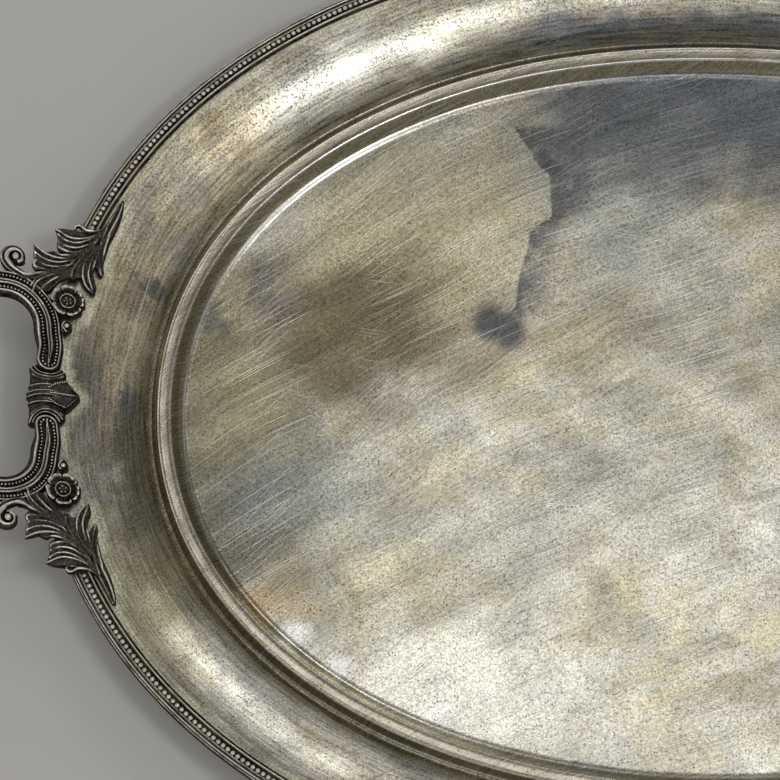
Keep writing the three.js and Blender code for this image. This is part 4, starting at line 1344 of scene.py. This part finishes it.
def sheet_metal():
    """Worn silver plate: tarnish, patches, a crust round the castings, scratches and pinpricks."""
    g = Metal("worn_silver_plate")
    place = g.millimetres()
    ring = g.attribute("ring", "Vector")
    across = g.node("ShaderNodeSeparateXYZ", {0: ring}).outputs[2]
    on_flange = g.fade(across, 0.0, 6.0)
    wipes = Wipes(g, place)
    marks = wipe_marks(g, place, ring, wipes, on_flange)
    mottle = g.math("SUBTRACT", g.noise(place, 1.3, 0.6, 0.8), 0.5)
    stir = both(g, g.math("SUBTRACT", streaks(g, wipes.main, 90.0, 0.12, 1.5, 2.0), 0.5), 0.28)

    color = floor_patches(g, place, stir, floor_tarnish(g, place, stir))
    color = flange_tarnish(g, place, ring, across, color)
    color = step_dirt(g, place, ring, across, color)
    freckles, pricks, shown_pricks = corrosion(g, place, across)
    color = g.mix(both(g, freckles, 0.8), color, FRECKLE)
    color = g.mix(both(g, shown_pricks, 0.85), color, SPECK)
    crust = pale_crust(g, place, g.attribute("halo", "Fac"))
    color = g.mix(both(g, crust, 0.85), color, CRUST)
    color = g.mix(1.0, color, brightness(g, across, on_flange, mottle, marks), "MULTIPLY")

    fine, dull = scratches(g, place, wipes)
    navy_bank = spot(g, place, (0, 138), (72, 42), 0.3)
    fine = both(g, fine, g.math("MULTIPLY_ADD", on_flange, -0.75, 1.0))
    fine = both(g, fine, g.math("MULTIPLY_ADD", navy_bank, -0.4, 0.8))
    color = g.mix(fine, color, SCRATCH_AND_HIGHLIGHT)
    color = g.mix(both(g, dull, 0.5), color, DULL_SCRATCH)
    long_scratch = trail(g, wandered(g, place, 0.03, 2.0, 1.0), (-231.0, 59.0), (-244.7, 7.5), 0.17, 0.14)
    color = g.mix(both(g, long_scratch, 0.8), color, SCRATCH_AND_HIGHLIGHT)
    # Painted highlights along the step's edges, laid in the scratch white.
    edges = painted_edge_highlights(g, place, across)
    color = g.mix(both(g, edges, 0.8), color, SCRATCH_AND_HIGHLIGHT)

    roughness = g.math("MULTIPLY_ADD", g.noise(place, 0.035, 3.0), 0.14, 0.20)
    for mask, change in ((edges, -0.10), (marks, 0.10), (crust, 0.20), (either(g, pricks, freckles), 0.18)):
        roughness = g.math("MULTIPLY_ADD", mask, change, roughness)
    normal = g.bump(mottle, 0.02, 0.4)
    normal = g.bump(fine, 0.04, 0.6, normal)
    normal = g.bump(both(g, crust, g.noise(place, 1.2, 3.0)), 0.12, 0.6, normal)
    return g.finish(color, roughness, normal)


GREY_BLOOM = (0.30, 0.275, 0.235)
TAN_WEAR = (0.42, 0.33, 0.205)


def aged_silver(name, hollow, face, crest, wear, dirt_bump, warmth):
    """Silver that is black in its hollows and rubbed bright on its crests; wear says from which relief."""
    g = Metal(name)
    place = g.millimetres()
    stir = g.math("MULTIPLY_ADD", g.noise(place, 0.7, 4.0, 0.65), 0.26, -0.13)
    level = g.math("ADD", g.attribute("relief", "Fac"), stir)
    color = g.mix(g.fade(level, 0.22, 0.50), hollow, face)
    bloom = g.fade(g.noise(place, 1.1, 2.0, 0.7), 0.50, 0.62)
    color = g.mix(both(g, bloom, 0.35), color, GREY_BLOOM)
    warm = g.fade(g.noise(place, 0.09, 3.0), 0.42, 0.62)
    color = g.mix(both(g, warm, warmth), color, BROWN)
    half_worn = g.fade(level, wear[0] - 0.07, wear[0] + 0.03)
    tan = both(g, half_worn, g.fade(g.noise(place, 0.12, 3.0), 0.40, 0.60, 0.15, 0.9))
    color = g.mix(both(g, tan, 0.75), color, TAN_WEAR)
    rubbed = both(g, g.fade(level, *wear), g.fade(g.noise(place, 0.16, 3.0), 0.3, 0.55, 0.55, 1.0))
    color = g.mix(rubbed, color, crest)
    pits = specks(g, place, 0.9, 0.55, 0.8)
    color = g.mix(both(g, pits, 0.5), color, SPECK)
    roughness = g.math("MULTIPLY_ADD", rubbed, -0.18, 0.40)
    roughness = g.math("MULTIPLY_ADD", g.noise(place, 0.5, 3.0), 0.12, roughness)
    roughness = g.math("MULTIPLY_ADD", g.fade(level, 0.4, 0.2), 0.22, roughness)
    normal = g.bump(g.noise(place, 1.6, 4.0, 0.6), dirt_bump, 0.6)
    normal = g.bump(pits, -0.04, 0.5, normal)
    return g.finish(color, roughness, normal)


def border_metal():
    hollow, face, crest = (0.016, 0.013, 0.010), (0.12, 0.10, 0.075), (0.97, 0.93, 0.84)
    return aged_silver("border_silver", hollow, face, crest, (0.58, 0.76), 0.05, 0.3)


def cast_metal():
    hollow, face, crest = (0.012, 0.010, 0.009), (0.060, 0.056, 0.049), (0.98, 0.94, 0.87)
    return aged_silver("oxidised_cast_silver", hollow, face, crest, (0.65, 0.80), 0.07, 0.1)


# ---------------------------------------------------------------- assembly


def mark_halo(sheet, castings):
    """Stores on the sheet how far each point is from the nearest casting or from the border's seam."""
    near = np.vstack([places_of(piece.data)[:, :2] for piece in castings])
    near = np.unique(np.round(near / 0.6), axis=0) * 0.6
    points = places_of(sheet.data)
    offset = np.empty(len(points) * 3, dtype=np.float32)
    sheet.data.attributes["ring"].data.foreach_get("vector", offset)
    halo = np.clip(FLANGE_END + 0.6 - offset.reshape(-1, 3)[:, 2], 0, 60)
    close = np.flatnonzero((np.abs(points[:, 0]) > 225) & (np.abs(points[:, 1]) < 100))
    folded = np.abs(points[close, :2])
    for start in range(0, len(close), 4000):
        part = folded[start : start + 4000, None] - near[None]
        distance = np.sqrt((part**2).sum(-1).min(1))
        where = close[start : start + 4000]
        halo[where] = np.minimum(halo[where], distance)
    sheet.data.attributes.new("halo", "FLOAT", "POINT").data.foreach_set("value", halo)


def place_piece(piece, material, slot, *nodes):
    """Gives a piece its material and its body, and hides the CAD nodes that it stands for."""
    piece.data.materials.clear()
    piece.data.materials.append(material)
    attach(piece, "root")
    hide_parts(*nodes)


ROWS = {"back": 1, "front": -1}

# The castings that stand on or over the flange, in the corner that the halo is worked out for.
ON_FLANGE = [
    "collar_right",
    "collar_leaf_right",
    "scroll_arm_right_back",
    "acanthus_right_back",
    "rosette_right_back",
]


def add_casting(piece, metal, node, **relief):
    mark_relief(piece, **relief)
    place_piece(piece, metal, "oxidised_cast_silver", node)
    return piece


def add_handle(metal, hand, side_x):
    """The nine castings of one handle, by the names of their CAD nodes."""
    castings = {}
    for part, build in (("grip", build_grip), ("collar", build_collar), ("collar_leaf", build_tongue)):
        node = f"{part}_{hand}"
        castings[node] = add_casting(build(f"cast_{node}", side_x), metal, node, reach=0.7, span=1.0)
    for part, build, reach in (
        ("scroll_arm", build_arm, 0.9), ("acanthus", build_leaf, 0.9), ("rosette", build_rosette, 1.4)
    ):
        for row, side_y in ROWS.items():
            node = f"{part}_{hand}_{row}"
            castings[node] = add_casting(build(f"cast_{node}", side_x, side_y), metal, node, reach=reach)
    return castings


def add_borders(metal):
    for row, side_y in ROWS.items():
        border = build_border(f"moulding_{row}", side_y)
        mark_relief(border, reach=0.7, cell=0.15)
        place_piece(border, metal, "border_silver", f"border_{row}")


def assemble():
    silver, moulding, cast = sheet_metal(), border_metal(), cast_metal()
    sheet = build_sheet()
    place_piece(sheet, silver, "worn_silver_plate", "tray_sheet")
    add_borders(moulding)
    add_handle(cast, "left", -1)
    right = add_handle(cast, "right", 1)
    mark_halo(sheet, [right[node] for node in ON_FLANGE])


# ---------------------------------------------------------------- stage, lights and camera


def make_floor():
    """A wide pale matte floor."""
    half, thickness, gap = 6000.0, 20.0, 0.4
    corners = [(-half, -half), (half, -half), (half, half), (-half, half)]
    shells = Shells()
    shells.add_rings([[(x, y, z) for x, y in corners] for z in (-gap - thickness, -gap)])
    floor = shells.object("stage_floor")
    for polygon in floor.data.polygons:
        polygon.use_smooth = False
    g = Metal("pale_floor", metallic=0.0)
    place = g.millimetres()
    tone = g.mix(g.noise(place, 0.004, 3.0), (0.74, 0.735, 0.715), (0.79, 0.785, 0.765))
    g.finish(tone, 0.85, g.bump(g.noise(place, 0.6, 3.0), 0.05, 0.3))
    floor.data.materials.append(g.material)


def softbox(name, direction, distance, width, height, power):
    """An area light that looks at the tray's centre from the given direction."""
    light = bpy.data.lights.new(name, "AREA")
    light.shape = "RECTANGLE"
    light.size, light.size_y = width, height
    light.energy = power
    lamp = bpy.data.objects.new(name, light)
    toward = Vector(direction).normalized()
    lamp.location = toward * distance
    lamp.rotation_mode = "QUATERNION"
    lamp.rotation_quaternion = toward.to_track_quat("Z", "Y")
    lamp.visible_camera = False
    bpy.context.scene.collection.objects.link(lamp)


def make_lights():
    """Two small softboxes, seen as highlights on the flange: the key's at the back left, the fill's at the
    front left."""
    softbox("key", direction=(0.31, -0.22, 0.92), distance=1.7, width=0.34, height=0.14, power=2.4)
    softbox("fill", direction=(0.33, 0.73, 0.59), distance=1.8, width=0.3, height=0.3, power=0.7)


# The studio's soft panels: direction, half-angles in degrees at which they begin to fade and are gone, and
# brightness.
PANELS = [
    ((0.42, -0.02, 0.90), 3, 13, 0.24),
    ((0.28, 0.03, 0.96), 2, 7, 1.4),
    ((0.66, -0.31, 0.69), 5, 15, 0.22),
    ((0.75, 0.17, 0.63), 4, 13, 0.22),
    ((0.28, -0.25, 0.93), 3, 7, 0.95),
    ((0.19, -0.30, 0.93), 3, 8, 1.3),
    ((0.045, 0.245, 0.968), 2, 7.4, 3.0),
    ((0.365, 0.725, 0.585), 2, 8, 1.8),
    ((0.30, 0.82, 0.48), 4, 13, 0.45),
    ((-0.75, 0.25, 0.55), 10, 30, 0.4),
    ((-0.3, -0.8, 0.5), 10, 30, 0.45),
]
ROOM_LIGHT = 0.255


def make_world():
    """A dim room with soft panels in it; it is a little brighter near the horizon than overhead."""
    world = bpy.data.worlds.new("studio")
    bpy.context.scene.world = world
    world.use_nodes = True
    g = Graph(world.node_tree)
    way = g.node("ShaderNodeTexCoord").outputs["Generated"]
    height = g.node("ShaderNodeSeparateXYZ", {0: way}).outputs[2]
    total = g.fade(height, 0.0, 0.85, 1.25 * ROOM_LIGHT, 0.8 * ROOM_LIGHT)
    for direction, inner, outer, brightness in PANELS:
        axis = Vector(direction).normalized()
        cosine = g.vector("DOT_PRODUCT", way, tuple(axis))
        glow = g.fade(cosine, math.cos(math.radians(outer)), math.cos(math.radians(inner)), 0.0, brightness)
        total = g.math("ADD", total, glow)
    background = g.tree.nodes["Background"]
    background.inputs["Color"].default_value = (1.0, 0.985, 0.955, 1)
    g.feed(background.inputs["Strength"], total)


# The camera: the point it looks at and its distance from it, in metres; its lens, in millimetres.
CAMERA_AIM = Vector((-0.1333, 0.0114, 0.0))
CAMERA_DISTANCE = 1.7084
CAMERA_TILT = math.radians(20.08)
CAMERA_LEAN = math.radians(-0.56)
CAMERA_TURN = math.radians(-0.17)
CAMERA_LENS = 192.4


def make_camera():
    """The camera stands in front of the tray, tilted a little from straight above it."""
    data = bpy.data.cameras.new("camera")
    data.lens = CAMERA_LENS
    data.sensor_width = 36
    camera = bpy.data.objects.new("camera", data)
    bpy.context.scene.collection.objects.link(camera)
    turn = Euler((CAMERA_TILT, CAMERA_LEAN, CAMERA_TURN))
    camera.rotation_euler = turn
    camera.location = CAMERA_AIM + turn.to_matrix() @ Vector((0, 0, CAMERA_DISTANCE))
    bpy.context.scene.camera = camera


assemble()
make_floor()
make_lights()
make_world()
make_camera()
bpy.context.scene.view_settings.view_transform = "Standard"
